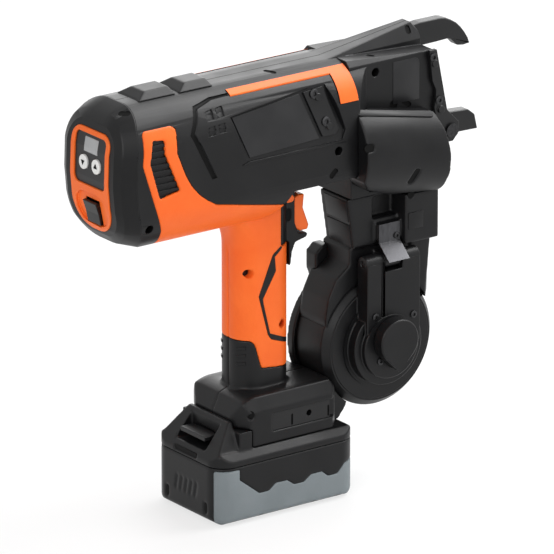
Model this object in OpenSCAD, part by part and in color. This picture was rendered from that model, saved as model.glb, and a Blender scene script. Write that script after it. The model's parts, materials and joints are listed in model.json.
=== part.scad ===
// Battery rebar tying tool: twisting drive, wire feeder, reel drum and slide battery.
// +X points forward to the jaws, +Y to the tool's left and +Z up.
// The origin is the middle of the battery's underside.

/* [Battery] */
// Length of the battery
pack_len = 116; // [112:1:122]
// Width of the battery
pack_w = 76; // [75:1:82]
// Height of the battery's lower tub
tub_h = 41; // [40.5:0.5:46]
// Height of the battery's lid up to its sliding deck
lid_h = 9; // [8:0.5:12]
// Corner radius of the battery seen from above
pack_corner = 14; // [12:0.5:14]
// Thickness of the grey bumper
bumper_t = 2.2; // [1.6:0.1:2.2]

/* [Foot] */
// How far the foot reaches behind the handle's middle plane
foot_back = 36; // [34:1:38]
// How far the foot reaches forward
foot_front = 46; // [44:1:48]
// Width of the foot
foot_w = 66; // [62:1:72]
// Height of the foot
foot_h = 33.7; // [32:0.1:38]

/* [Handle] */
// Depth of the handle, front to back
grip_depth = 43; // [41:1:45]
// Width of the handle
grip_w = 35; // [33:1:38]
// Height of the handle from the foot to the housing
grip_h = 119; // [114:1:124]
// Where the middle of the handle stands, forward of the origin
grip_mid = -1.5; // [-3:0.5:0]

/* [Housing] */
// Width of the main housing
body_w = 76; // [74:1:82]
// Height of the main housing
body_h = 100; // [96:1:106]
// Corner radius of the housing's section
body_corner = 30; // [26:1:34]
// How far the housing reaches behind the origin
body_rear = 135; // [132:1:140]
// Where the front bevel starts
bevel_x = 58; // [58:0.5:60]
// Where the wide housing ends
body_front = 72; // [71:0.5:74]
// Wall thickness of the shells
shell_wall = 3; // [2.4:0.1:3.4]

/* [Nose] */
// Where the nose ends
nose_tip = 134; // [132:0.5:136]
// Width of the nose
nose_w = 52; // [50:0.5:54]
// Thickness of the steel nose plates
plate_t = 3; // [2:0.1:3.5]
// Thickness of the jaws
jaw_t = 8; // [6:0.5:10]
// Reach of the upper jaw from its root to its tip
upper_jaw_len = 63.4; // [60:0.2:68]
// Reach of the lower jaw from its pin
lower_jaw_len = 41.3; // [38:0.1:45]

/* [Reel] */
// Outer radius of the reel drum
drum_r = 46; // [44:0.5:47]
// Width of the drum ring
drum_w = 40; // [38:0.5:42]
// Where the drum's axis lies, forward of the origin
drum_x = 86; // [85:0.5:88]
// How far the drum's axis lies below the feeder
neck_drop = 106; // [104:0.5:110]
// Width of the drum's rim around the reel door
door_rim = 5.4; // [5.4:0.1:8]
// Width of the reel door's arm
arm_w = 44; // [40:0.5:46]
// Gap between the wire spool's flanges and the drum
spool_gap = 4; // [3.5:0.1:8]

/* [Feeder] */
// Bulge radius of the feeder cover
cover_r = 38; // [36:0.5:42]
// Height of the feeder frame
feed_h = 44; // [42:0.5:46]
// Radius of the feed rollers
roller_r = 8; // [7:0.1:8.2]

/* [Twisting drive] */
// Outer radius of the twisting motor
motor_r = 22; // [18:0.5:24]
// Length of the twisting motor
motor_len = 56; // [46:1:60]
// Gear tooth module
tooth = 1; // [0.9:0.02:1.04]
// Radius of the twist spindle
spindle_r = 8; // [6:0.1:9]

/* [Fits] */
// Radial gap between a shaft and its bore
run_fit = 0.05; // [0.02:0.01:0.1]
// Gap between sliding or swinging pieces
move_gap = 0.3; // [0.2:0.05:0.4]

/* [Hidden] */
$fn = 72;
// Overrun of every cut, and a length past the whole tool
over = 1;
reach = 420;

// Levels, from the surface that the tool stands on
z_deck = tub_h + lid_h;
z_foot = z_deck + move_gap;
z_grip = z_foot + foot_h;
z_under = z_grip + grip_h;
z_mid = z_under + body_h / 2;
z_top = z_under + body_h;
feed_drop = 47;
z_feed = z_mid - feed_drop;
z_nose = z_feed + feed_h;
drum_z = z_feed - neck_drop;
axis_rise = 12;
axis_z = z_mid + axis_rise;
grip_front = grip_mid + grip_depth / 2;
door_r = drum_r - door_rim;
drum_mid = -4;
drum_near = drum_mid - drum_w / 2;
drum_far = drum_mid + drum_w / 2;

// Colours
black = [0.10, 0.10, 0.11];
charcoal = [0.20, 0.20, 0.21];
orange = [0.95, 0.42, 0.10];
grey = [0.52, 0.55, 0.56];
steel = [0.70, 0.71, 0.72];
white = [0.90, 0.90, 0.88];
copper = [0.70, 0.42, 0.24];
green = [0.10, 0.35, 0.20];
blue = [0.18, 0.35, 0.55];

// Spreads a table of shares over a width and a height
function spread(shares, size) = [for (s = shares) [s[0] * size[0], s[1] * size[1]]];

// A flat outline in X and Z, drawn through a span of Y
module side_cut(y0, y1) {
    translate([0, y1, 0]) rotate([90, 0, 0]) linear_extrude(y1 - y0) children();
}
// A flat outline in Y and Z, drawn along a span of X
module cross_cut(x0, x1) {
    translate([x0, 0, 0]) rotate([90, 0, 90]) linear_extrude(x1 - x0) children();
}
// A flat outline in X and Y, drawn up a span of Z
module plan_cut(z0, z1) {
    translate([0, 0, z0]) linear_extrude(z1 - z0) children();
}
// An outline given in shares of a size, set down at an origin in X and Z
module side_shape(origin, size, shares, y0, y1) {
    translate([origin[0], 0, origin[1]]) side_cut(y0, y1) polygon(spread(shares, size));
}
// A box between two corners
module block(a, b) {
    translate(a) cube(b - a);
}
// A box that is centred on the mid plane
module mid_block(x0, x1, w, z0, z1) {
    block([x0, -w / 2, z0], [x1, w / 2, z1]);
}
// A rod along Y between two places
module rod_y(x, z, r, y0, y1) {
    translate([x, y1, z]) rotate([90, 0, 0]) cylinder(r = r, h = y1 - y0);
}
// A rod along X between two places
module rod_x(y, z, r, x0, x1) {
    translate([x0, y, z]) rotate([0, 90, 0]) cylinder(r = r, h = x1 - x0);
}
// A rounded rectangle with true arcs
module soft_rect(w, h, r) {
    square([w - 2 * r, h], center = true);
    square([w, h - 2 * r], center = true);
    for (sx = [-1, 1], sy = [-1, 1])
        translate([sx * (w / 2 - r), sy * (h / 2 - r)]) circle(r);
}
// The same piece on the right and on the left
module each_side() {
    children();
    mirror([0, 1, 0]) children();
}
module right_half() {
    intersection() {
        children();
        block([-reach, -reach, -reach], [reach, 0, reach]);
    }
}
module left_half() {
    intersection() {
        children();
        block([-reach, 0, -reach], [reach, reach, reach]);
    }
}

// Battery values
pack_floor = 2.4;
tub_wall = 2.4;
pack_chamfer = 3.5;
lid_chamfer = 5;
cell_d = 18.4;
cell_len = 64;
cell_pitch = 19;
cells_long = 5;
cells_high = 2;
// The grey bumper's outline: shares of the battery's length from its rear, and of the tub's height
bumper_shares = [[0.014, -0.1], [0.014, 0.95], [0.15, 0.95], [0.15, 0.77], [0.29, 0.46], [0.36, 0.46],
    [0.41, 0.57], [0.49, 0.56], [0.54, 0.46], [0.61, 0.46], [0.66, 0.56], [0.74, 0.56], [0.78, 0.46],
    [0.85, 0.46], [0.9, 0.61], [1.02, 0.64], [1.02, -0.1]];
pack_vents = 5;
vent_pitch = 5.5;
vent_w = 2;
vent_h = 11;
vent_tilt = 12;
vent_depth = 1.2;
vent_z_share = 0.5;
notch_shares = [-0.2, 0, 0.18, 0.35];
notch_w = 4;
notch_h = 3;
stem_w = 28;
stem_h = 4;
head_w = 40;
head_h = 4;
rail_back = -26;
rail_front = 34;
blade_t = 0.8;
blade_h = 6;
blade_len = 9;
blade_slot = 2;
blade_base = 3;
blade_shares = [-0.3, 0, 0.3];
house_h = 27;
house_lip = 4;
house_top = 3;
house_w = 66;
house_top_w = 46;
house_side_h = 7;
toe_h = 12.4;
step_gap = 0.6;
latch_travel = 4;
latch_t = 3.4;
latch_w = 18;
latch_back = -52.5;
latch_pad_end = -42;
latch_front = -28.5;
latch_pad_w = 28;
tooth_len = 4.5;
tooth_h = 1.2;
window_back = -54;
window_front = -41;
window_w = 33;
house_front = -foot_back - move_gap;
toe_front = rail_back - step_gap;
foot_step = rail_back - step_gap / 2;
step_top = z_deck + toe_h + step_gap;
rail_top = z_deck + stem_h + head_h;
latch_z = z_deck + latch_travel + move_gap;

module pack_plan(i) {
    soft_rect(pack_len - 2 * i, pack_w - 2 * i, pack_corner - i);
}
module pack_block(i, z0, z1) {
    plan_cut(z0, z1) pack_plan(i);
}
// Cuts the battery's lower or upper edges off at an angle
function edge_cut(half, z0, z1, c0, c1) = [[-half + c0, z0], [half - c0, z0], [half, z0 + c0],
    [half, z1 - c1], [half - c1, z1], [-half + c1, z1], [-half, z1 - c1], [-half, z0 + c0]];
module edge_trim(z0, z1, c0, c1) {
    intersection() {
        side_cut(-reach, reach) polygon(edge_cut(pack_len / 2, z0, z1, c0, c1));
        cross_cut(-reach, reach) polygon(edge_cut(pack_w / 2, z0, z1, c0, c1));
    }
}
module battery_bumper() {
    color(grey) difference() {
        intersection() {
            difference() {
                pack_block(0, 0, tub_h);
                pack_block(bumper_t, -over, tub_h + over);
            }
            side_shape([-pack_len / 2, 0], [pack_len, tub_h], bumper_shares, -reach, reach);
            edge_trim(0, tub_h, pack_chamfer, 0);
        }
        for (s = notch_shares)
            mid_block(s * pack_len, s * pack_len + notch_w, reach, -over, notch_h);
    }
}
module battery_tub() {
    color(black) difference() {
        intersection() {
            pack_block(0, 0, tub_h);
            edge_trim(0, tub_h, pack_chamfer, 0);
        }
        battery_bumper();
        plan_cut(pack_floor, tub_h + over) pack_plan(bumper_t + tub_wall);
        for (n = [0 : pack_vents - 1])
            translate([-pack_len / 2, (n - (pack_vents - 1) / 2) * vent_pitch, tub_h * vent_z_share])
                rotate([vent_tilt, 0, 0])
                cube([2 * vent_depth, vent_w, vent_h], center = true);
    }
}
module battery_cells() {
    row = (cells_long - 1) / 2;
    color(blue) for (n = [0 : cells_long - 1], m = [0 : cells_high - 1])
        rod_y((n - row) * cell_pitch, pack_floor + cell_d * (m + 0.5), cell_d / 2, -cell_len / 2,
            cell_len / 2);
}
module rail_shape(gap, x0, x1) {
    mid_block(x0, x1, stem_w + 2 * gap, z_deck - over, z_deck + stem_h + over);
    mid_block(x0, x1, head_w + 2 * gap, z_deck + stem_h - gap, rail_top + gap);
}
module latch_house() {
    back = -pack_len / 2;
    peak = tub_h + house_h;
    intersection() {
        side_cut(-reach, reach) polygon([[back, tub_h], [back, tub_h + house_lip],
            [house_front - house_top, peak], [house_front, peak], [house_front, tub_h]]);
        pack_block(0, tub_h, peak);
        cross_cut(-reach, reach) polygon([[-house_w / 2, tub_h], [house_w / 2, tub_h],
            [house_w / 2, tub_h + house_side_h], [house_top_w / 2, peak], [-house_top_w / 2, peak],
            [-house_w / 2, tub_h + house_side_h]]);
    }
}
module battery_lid() {
    color(black) difference() {
        union() {
            intersection() {
                pack_block(0, tub_h, z_deck);
                edge_trim(tub_h, z_deck, 0, lid_chamfer);
            }
            rail_shape(0, rail_back, rail_front);
            latch_house();
            intersection() {
                mid_block(house_front - over, toe_front, house_w, z_deck - over, z_deck + toe_h);
                pack_block(0, tub_h, step_top);
            }
        }
        for (s = blade_shares)
            block([rail_front - blade_len - over, s * stem_w - blade_slot / 2, z_deck],
                [rail_front + over, s * stem_w + blade_slot / 2, rail_top + over]);
        mid_block(window_back, window_front, window_w, z_deck, tub_h + house_h + over);
        mid_block(window_front - over, toe_front + over, latch_w + 2 * move_gap, z_deck,
            latch_z + latch_t + move_gap);
        mid_block(house_front - house_top, toe_front + over, latch_w + 2 * move_gap, z_deck, step_top);
    }
}
module battery_latch() {
    color(charcoal) {
        mid_block(latch_back, latch_pad_end, latch_pad_w, latch_z, latch_z + latch_t);
        mid_block(latch_pad_end, latch_front, latch_w, latch_z, latch_z + latch_t);
        mid_block(latch_front - tooth_len, latch_front, latch_w, latch_z, latch_z + latch_t + tooth_h);
    }
}

// Handle values
grip_corner = 15;
grip_in = 27;
grip_rear = grip_mid - grip_depth / 2;
grip_origin = [grip_rear, z_grip];
grip_size = [grip_depth, grip_h];
collar_shares = [[-0.05, -0.08], [-0.05, 0.29], [0.17, 0.29], [0.24, 0.27], [0.36, 0.12], [1.05, 0.09],
    [1.05, -0.08]];
band_shares = [[0.73, 0.82], [0.575, 0.78], [0.305, 0.55], [0.34, 0.5], [0.48, 0.31], [0.54, 0.28],
    [1.05, 0.21], [1.05, 0.235], [0.52, 0.315], [0.4, 0.49], [0.38, 0.53], [0.63, 0.68], [0.61, 0.765],
    [0.77, 0.81]];
band_depth = 1.2;
flare_h = 12;
flare_out = 10;
flare_side_share = 0;
flare_steps = 5;

// The handle's rear flares into the housing: a share of the climb gives how far it has grown
function flare_grow(climb_share) = flare_out * (1 - sqrt(1 - climb_share * climb_share));
module flare_slice(climb_share) {
    grow = flare_grow(climb_share);
    translate([grip_mid - grow / 2, 0, z_under + flare_h * (climb_share - 1)])
        linear_extrude(flare_h / flare_steps)
        soft_rect(grip_depth + grow, grip_w + 2 * grow * flare_side_share, grip_corner, $fn = 32);
}
module handle_flare() {
    intersection() {
        for (n = [1 : flare_steps]) hull() {
            flare_slice(n / flare_steps);
            flare_slice((n - 1) / flare_steps);
        }
        block([-reach, -reach, 0], [bracket_back - over, reach, z_under + grip_in]);
    }
}
module handle_form(i, z0, z1) {
    translate([grip_mid, 0, 0]) plan_cut(z0, z1) soft_rect(grip_depth - 2 * i, grip_w - 2 * i,
        grip_corner - i);
}
module grip_zone(shares) {
    side_shape(grip_origin, grip_size, shares, -reach, reach);
}
module grip_band() {
    color(black) intersection() {
        difference() {
            handle_form(0, z_grip, z_under);
            handle_form(band_depth, z_grip - over, z_under + over);
        }
        grip_zone(band_shares);
    }
}

// Foot values
foot_tail_w = 40;
foot_tail = 8;
foot_nose_w = 54;
foot_nose = 6;
foot_slope = 5;
foot_shoulder = 8;
foot_rear_h = 22;
foot_roof = 3;
foot_cheek = 5;
cradle_shares = [[-0.2, 0.98], [-0.05, 0.98], [0.67, 0.4], [0.55, 0.25], [0.25, 0.03], [-0.2, 0.03]];
cradle_len = 20;
cradle_w = 48;
drum_gap = 0.4;
hook_len = 48;
hook_h = 13;
hook_x = 14;
hook_z_share = 0.43;
hook_t = 4;
hook_sink = 1;
hook_hole_r = 2.1;
hook_hole_x = 7;
cavity_floor = step_top + foot_roof;
board_t = 1.6;
board_len = 56;
board_w = 46;
chip_share = 0.3;
chip_h = 5;
slot_room = 4;
slot_end = rail_front + slot_room;
rim_lip = 2.6;
rim_r = drum_r + rim_lip;
rim_w = 7;

module drum_space() {
    rod_y(drum_x, drum_z, drum_r + drum_gap, -reach, reach);
    rod_y(drum_x, drum_z, rim_r + drum_gap, drum_far - rim_w - drum_gap, reach);
}
module foot_form() {
    intersection() {
        plan_cut(z_foot, z_grip) polygon([[-foot_back, -foot_tail_w / 2], [-foot_back + foot_tail,
            -foot_w / 2],
            [foot_front - foot_nose, -foot_w / 2], [foot_front, -foot_nose_w / 2],
            [foot_front, foot_nose_w / 2], [foot_front - foot_nose, foot_w / 2],
            [-foot_back + foot_tail, foot_w / 2], [-foot_back, foot_tail_w / 2]]);
        side_cut(-reach, reach) polygon([[-foot_back, z_foot], [foot_front, z_foot],
            [foot_front, z_grip - foot_shoulder], [foot_front - foot_slope, z_grip],
            [-foot_back + foot_slope, z_grip], [-foot_back, z_foot + foot_rear_h]]);
        cross_cut(-reach, reach) polygon([[-foot_w / 2, z_foot], [foot_w / 2, z_foot],
            [foot_w / 2, z_grip - foot_shoulder], [foot_w / 2 - foot_slope, z_grip],
            [-foot_w / 2 + foot_slope, z_grip], [-foot_w / 2, z_grip - foot_shoulder]]);
    }
}
// The belt hook's plate, or the groove that holds it and runs out at the foot's front
module hook_place(lead, y0, y1) {
    z = z_foot + foot_h * hook_z_share;
    block([hook_x - hook_len / 2, y0, z - hook_h / 2], [hook_x + hook_len / 2 + lead, y1, z + hook_h / 2]);
}
module foot_solid() {
    difference() {
        union() {
            foot_form();
            side_shape([foot_front, z_foot], [cradle_len, foot_h], cradle_shares, -cradle_w / 2,
                cradle_w / 2);
            intersection() {
                handle_form(0, z_grip - over, z_under);
                grip_zone(collar_shares);
            }
        }
        rail_shape(move_gap, -foot_back - over, slot_end);
        block([-foot_back - over, -reach, z_foot - over], [foot_step, reach, step_top]);
        mid_block(-foot_back + foot_cheek, foot_front - 2 * foot_cheek, foot_w - 2 * (hook_t + foot_cheek),
            cavity_floor, z_grip - foot_roof);
        handle_form(shell_wall, z_grip - 2 * foot_roof, z_under + over);
        drum_space();
        each_side() hook_place(reach, -reach, -foot_w / 2 + hook_sink + hook_t);
    }
}
module foot_shell_right() {
    color(black) right_half() foot_solid();
}
module foot_shell_left() {
    color(black) left_half() foot_solid();
}
module hook_plates() {
    color(charcoal) each_side() difference() {
        hook_place(0, -foot_w / 2 + hook_sink, -foot_w / 2 + hook_sink + hook_t);
        rod_y(hook_x + hook_hole_x, z_foot + foot_h * hook_z_share, hook_hole_r, -reach, 0);
    }
}
module tool_terminals() {
    back = slot_end - blade_base;
    color(copper) {
        mid_block(back, slot_end, stem_w, z_deck + stem_h, rail_top);
        for (s = blade_shares)
            block([back - blade_len, s * stem_w - blade_t / 2, rail_top - blade_h],
                [back, s * stem_w + blade_t / 2, rail_top - over]);
    }
}
module control_board() {
    color(green) {
        mid_block(grip_mid - board_len / 2, grip_mid + board_len / 2, board_w, cavity_floor,
            cavity_floor + board_t);
        for (s = [-1, 1])
            translate([grip_mid + s * board_len * chip_share, 0, cavity_floor + board_t + chip_h / 2])
                cube([chip_h, board_w * chip_share, chip_h], center = true);
    }
}

// Housing values
belly_in = 28;
belly_end = grip_front - belly_in;
under_run = 13;
under_rise = 23;
roof_drop = 4;
roof_edge = 4;
ridge_start = 52;
ridge_w = 9;
ridge_base_w = 22;
ridge_rise = 11;
ridge_nose = 4;
ridge_root = 6;
nose_lean = 5;
// The orange zone and the louvre, in shares of the housing's length and height from its lower rear
body_origin = [-body_rear, z_under];
body_size = [body_rear + bevel_x, body_h];
orange_shares = [[0.096, 0.85], [0.108, 0.868], [0.219, 0.868], [0.235, 0.845], [0.229, 0.69],
    [0.266, 0.517], [0.289, 0.439], [0.323, 0.362], [0.36, 0.307], [0.393, 0.27], [0.682, 0.146],
    [0.747, 0.143], [0.747, -0.1], [0.2, -0.1], [0.186, 0.05], [0.172, 0.16], [0.15, 0.265],
    [0.086, 0.645]];
louvre_shares = [[0.133, 0.8], [0.183, 0.785], [0.18, 0.7], [0.243, 0.42], [0.158, 0.39], [0.118, 0.65]];
slat_count = 9;
slat_gap = 2.4;
slat_pitch = 4.6;
slat_low_share = 0.4;
louvre_sink = 1.2;
// How far the seam between the rear cap and the housing lies ahead of the rear face
seam_shift = 11.5;

module body_form(i) {
    top = z_top - i;
    low = z_under + i;
    half = body_w / 2 - i;
    slim = nose_w / 2 - i;
    intersection() {
        cross_cut(-body_rear, body_front - i)
            translate([0, z_mid]) soft_rect(body_w - 2 * i, body_h - 2 * i, body_corner - i);
        side_cut(-reach, reach) polygon([[-reach, low], [belly_end, low], [belly_end + under_run,
            low + under_rise],
            [reach, low + under_rise], [reach, top], [-reach, top]]);
        plan_cut(0, reach) polygon([[-reach, -half], [bevel_x - i, -half], [body_front - i, -slim],
            [body_front - i, slim], [bevel_x - i, half], [-reach, half]]);
    }
}
module nose_form(i) {
    half = nose_w / 2 - i;
    intersection() {
        cross_cut(bevel_x, nose_tip - i) polygon([[-half, z_nose + i], [half, z_nose + i], [half,
            z_top - roof_edge - i],
            [half - roof_edge, z_top - i], [roof_edge - half, z_top - i], [-half, z_top - roof_edge - i]]);
        side_cut(-reach, reach) polygon([[bevel_x, z_nose], [nose_tip - i, z_nose],
            [nose_tip - nose_lean - i, z_top - roof_drop - i],
            [bevel_x, z_top - i]]);
    }
}
module ridge_form() {
    front = nose_tip - nose_lean;
    peak = z_top + ridge_rise;
    low = z_top - ridge_root;
    intersection() {
        side_cut(-reach, reach) polygon([[ridge_start, low], [front, low], [front, peak - ridge_root],
            [front - ridge_nose, peak], [ridge_start, z_top]]);
        cross_cut(-reach, reach) polygon([[-ridge_base_w / 2, low], [ridge_base_w / 2, low],
            [ridge_base_w / 2, z_top],
            [ridge_w / 2, peak], [-ridge_w / 2, peak], [-ridge_base_w / 2, z_top]]);
    }
}
module orange_zone() {
    side_shape(body_origin, body_size, orange_shares, -reach, reach);
}
module louvre_zone(y0, y1) {
    side_shape(body_origin, body_size, louvre_shares, y0, y1);
}
module cap_zone() {
    difference() {
        block([-body_rear - over, -reach, z_under - over], [cap_end, reach, z_top + over]);
        rear_profile(seam_shift);
    }
}

// Accent strip values
strip_back = -39;
strip_front = 50;
strip_inner = 19.6;
strip_outer = 25;
leg_back = 42.5;
leg_front = 57.5;
leg_drop = 23;
strip_proud = 0.6;
strip_depth = 1.3;
strip_low = 13;

module strip_zone() {
    block([strip_back, -strip_outer, z_top - strip_low], [strip_front, -strip_inner, reach]);
    block([leg_back, -reach, z_top - leg_drop], [leg_front, -strip_inner, reach]);
}
module accent_strips() {
    color(orange) each_side() intersection() {
        strip_zone();
        difference() {
            body_form(-strip_proud);
            body_form(strip_depth);
        }
    }
}

// Label plate values: the plate lies in a sunk flat that leans in at its top
label_x = 2;
label_y = 33.8;
label_rise = 18.5;
label_tilt = 11;
label_size = [84, 36];
recess_shares = [[-0.57, 0.42], [0.38, 0.66], [0.53, -0.28], [0.5, -0.46], [-0.44, -0.5]];
label_shares = [[-0.53, 0.39], [0.13, 0.55], [0.28, -0.35], [-0.4, -0.42]];
screw_plate_shares = [[0.17, 0.56], [0.36, 0.6], [0.475, -0.24], [0.44, -0.34], [0.31, -0.33]];
label_t = 0.8;
screw_plate_t = 1.6;
backing_t = 3;
backing_grow_share = 1.12;
plate_screw_r = 2.6;
plate_screw_t = 1.5;
plate_screw_shares = [[0.3, 0.42], [0.38, -0.16]];

module label_place() {
    translate([label_x, -label_y, z_mid + label_rise]) rotate([-label_tilt, 0, 0]) children();
}
module label_plates() {
    color(charcoal) each_side() label_place() side_cut(-label_t, 0) polygon(spread(label_shares, label_size));
}
module screw_plates() {
    color(black) each_side() label_place() {
        side_cut(-screw_plate_t, 0) polygon(spread(screw_plate_shares, label_size));
        for (p = spread(plate_screw_shares, label_size))
            rod_y(p[0], p[1], plate_screw_r, -screw_plate_t - plate_screw_t, -screw_plate_t / 2);
    }
}
module label_recess() {
    each_side() label_place() side_cut(-label_y, 0) polygon(spread(recess_shares, label_size));
}
module label_backing() {
    each_side() label_place() side_cut(-label_y, backing_t)
        polygon(spread(recess_shares, label_size * backing_grow_share));
}

// Grooves and dimples on the housing's sides, in shares of its length and height from its lower rear
groove_depth = 0.9;
groove_shares = [[0.497, 0.965], [0.425, 0.964], [0.337, 0.94], [0.288, 0.78], [0.375, 0.45],
    [0.397, 0.455], [0.309, 0.78], [0.346, 0.92], [0.42, 0.95], [0.49, 0.953]];
dimple_places_shares = [[0.383, 0.875], [0.427, 0.88], [0.378, 0.78], [0.42, 0.785]];
dimple_shares = [[-0.014, -0.035], [0.014, -0.028], [0.018, 0.032], [-0.01, 0.025]];

module groove_cuts() {
    each_side() difference() {
        union() {
            side_shape(body_origin, body_size, groove_shares, -reach, -strip_inner);
            for (d = dimple_places_shares)
                side_shape(body_origin, body_size, [for (q = dimple_shares) d + q], -reach, -strip_inner);
        }
        body_form(groove_depth);
    }
}

// Screws that hold the two halves together, as places in X and Z
boss_r = 4.3;
screw_r = 1.5;
head_r = 2.7;
head_t = 2.6;
head_seat = 7;
screw_len = 16;
body_screw_shares = [[0.118, 0.194], [0.912, 0.446], [1.114, 0.89]];
handle_screw_shares = [[0.16, 0.69], [0.77, 0.353]];
body_screws = [for (q = spread(body_screw_shares, body_size)) body_origin + q];
handle_screws = [for (q = spread(handle_screw_shares, grip_size)) grip_origin + q];

// The head's hole on the right and the thread's hole through the mid plane
module screw_holes(p) {
    rod_y(p[0], p[1], head_r + move_gap, -reach, -head_seat);
    rod_y(p[0], p[1], screw_r + run_fit, -head_seat - over, screw_len - head_seat + over);
}
module screw_solid(p) {
    rod_y(p[0], p[1], head_r, -head_seat - head_t, -head_seat);
    rod_y(p[0], p[1], screw_r, -head_seat, screw_len - head_seat);
}
module housing_screws() {
    color(steel) for (p = concat(body_screws, handle_screws)) screw_solid(p);
}
module body_all_hollow() {
    difference() {
        union() {
            body_form(shell_wall);
            nose_form(shell_wall);
        }
        label_backing();
        for (p = body_screws) rod_y(p[0], p[1], boss_r, -reach, reach);
        ridge_form();
    }
}
module body_solid() {
    difference() {
        union() {
            difference() {
                union() {
                    body_form(0);
                    nose_form(0);
                    ridge_form();
                }
                body_all_hollow();
            }
        }
        cap_zone();
        orange_zone();
        grip_root_space();
        label_recess();
        each_side() difference() {
            strip_zone();
            body_form(strip_depth);
            nose_form(0);
            ridge_form();
        }
        groove_cuts();
        jaw_blank();
        rod_x(0, axis_z, spindle_r + run_fit, nose_tip - 2 * (shell_wall + nose_lean), nose_tip + over);
        for (p = body_screws) screw_holes(p);
    }
}
module body_shell_right() {
    color(black) right_half() body_solid();
}
module body_shell_left() {
    color(black) left_half() body_solid();
}
module handle_solid() {
    difference() {
        union() {
            intersection() {
                body_form(0);
                orange_zone();
            }
            handle_form(0, z_grip, z_under + grip_in);
            handle_flare();
        }
        difference() {
            union() {
                body_form(shell_wall);
                handle_form(shell_wall, z_grip - over, z_under + grip_in + over);
            }
            for (p = handle_screws) intersection() {
                rod_y(p[0], p[1], boss_r, -reach, reach);
                handle_form(0, z_grip, z_under);
            }
        }
        grip_zone(collar_shares);
        grip_band();
        bracket_space();
        louvre_zone(-reach, reach);
        for (p = handle_screws) screw_holes(p);
    }
}
module handle_shell_right() {
    color(orange) right_half() handle_solid();
}
module handle_shell_left() {
    color(orange) left_half() handle_solid();
}
module vent_louvres() {
    low = z_under + body_h * slat_low_share;
    color(black) difference() {
        intersection() {
            difference() {
                body_form(louvre_sink);
                body_form(shell_wall);
            }
            louvre_zone(-reach, reach);
        }
        for (n = [0 : slat_count - 1])
            difference() {
                block([-reach, -reach, low + n * slat_pitch], [reach, reach,
                    low + n * slat_pitch + slat_gap]);
                body_form(2 * louvre_sink);
            }
    }
}

// Pads on the housing's top
// Each pad's rear and front end, in shares of the housing's reach to the rear
pad_shares = [[-0.77, -0.548], [-0.53, -0.326]];
pad_w = 26;
pad_rise = 4.5;
pad_slope = 8;
pad_front_slope = 2.5;
pad_side_slope = 5.5;
pad_root = 6;

module top_pads() {
    color(black) difference() {
        for (p = body_rear * pad_shares) intersection() {
            side_cut(-pad_w / 2, pad_w / 2) polygon([[p[0], z_top - pad_root], [p[1], z_top - pad_root],
                [p[1], z_top],
                [p[1] - pad_front_slope, z_top + pad_rise], [p[0] + pad_slope, z_top + pad_rise], [p[0],
                    z_top]]);
            cross_cut(-reach, reach) polygon([[-pad_w / 2, z_top - pad_root], [pad_w / 2, z_top - pad_root],
                [pad_w / 2, z_top], [pad_w / 2 - pad_side_slope, z_top + pad_rise],
                    [pad_side_slope - pad_w / 2, z_top + pad_rise],
                [-pad_w / 2, z_top]]);
        }
        body_form(0);
    }
}

// Rear cap and control panel values
rear_run = 24;
cap_end = rear_run + seam_shift + over - body_rear;
// The rear face seen from the side: shares of its run and of the housing's height
rear_shares = [[0.4, 1], [0.17, 0.88], [0.03, 0.7], [0, 0.5], [0.06, 0.33], [0.2, 0.17], [0.42, 0.05],
    [0.7, 0]];
// The rear face's rounded rim: shares of its depth, as an inset and a setback
rear_round = 11;
round_shares = [[0, 1], [0.45, 0.23], [1, 0]];
rear_wall = 9;
bezel_w = 43;
bezel_h = 70;
bezel_corner = 19;
bezel_top_corner = 9;
bezel_rise = -2;
bezel_proud = 0.8;
bezel_t = 2.2;
pane_w = 35;
pane_h = 35;
pane_corner = 4;
pane_rise = 14;
tray_h = 22;
tray_corner = 10.5;
tray_rise = -19.5;
tray_sink = 1.2;
display_w = 15;
display_h = 10;
display_rise = 24;
button_w = 9;
button_h = 10;
button_y = 7.2;
button_rise = 11.5;
button_deep = 4;
button_proud = 0.6;
rocker_w = 15;
rocker_len = 16;
rocker_deep = 4;
rocker_well = 7;
rocker_drop = 24;
rocker_tilt = 12;
rocker_pin_r = 1.2;
rocker_pin = 1.5;
rocker_sink = 3;
rocker_gap = 1.2;
rocker_x = rocker_sink - body_rear;

// Everything ahead of the rear face, moved forward by a shift
module rear_profile(shift) {
    side_cut(-reach, reach) translate([-body_rear + shift, z_under])
        polygon(concat([[rear_shares[0][0] * rear_run, body_h + 2 * over]], spread(rear_shares, [rear_run,
            body_h]),
            [[rear_run, -2 * over], [reach, -2 * over], [reach, body_h + 2 * over]]));
}
module rear_skin(shift, t) {
    difference() {
        rear_profile(shift);
        rear_profile(shift + t);
    }
}
module cap_form(i, back) {
    hull() for (s = rear_round * round_shares) intersection() {
        cross_cut(-body_rear - over, cap_end) translate([0, z_mid])
            soft_rect(body_w - 2 * (s[0] + i), body_h - 2 * (s[0] + i), max(body_corner - s[0] - i, over),
                $fn = 48);
        rear_profile(s[1] + back);
    }
}
module bezel_place() {
    cross_cut(-reach, 0) translate([0, z_mid + bezel_rise]) children();
}
module bezel_plan() {
    bezel_place() {
        soft_rect(bezel_w, bezel_h, bezel_corner);
        translate([0, bezel_h / 4]) soft_rect(bezel_w, bezel_h / 2, bezel_top_corner);
    }
}
module tray_plan() {
    bezel_place() translate([0, tray_rise]) soft_rect(pane_w, tray_h, tray_corner);
}
module pane_plan() {
    bezel_place() translate([0, pane_rise]) soft_rect(pane_w, pane_h, pane_corner);
}
module display_plan() {
    bezel_place() translate([0, display_rise]) square([display_w, display_h], center = true);
}
module button_plan(side, grow) {
    bezel_place() translate([side * button_y, button_rise]) {
        square([button_w + 2 * grow, button_h - button_w], center = true);
        for (s = [-1, 1]) translate([0, s * (button_h - button_w) / 2]) circle(button_w / 2 + grow);
    }
}
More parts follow.
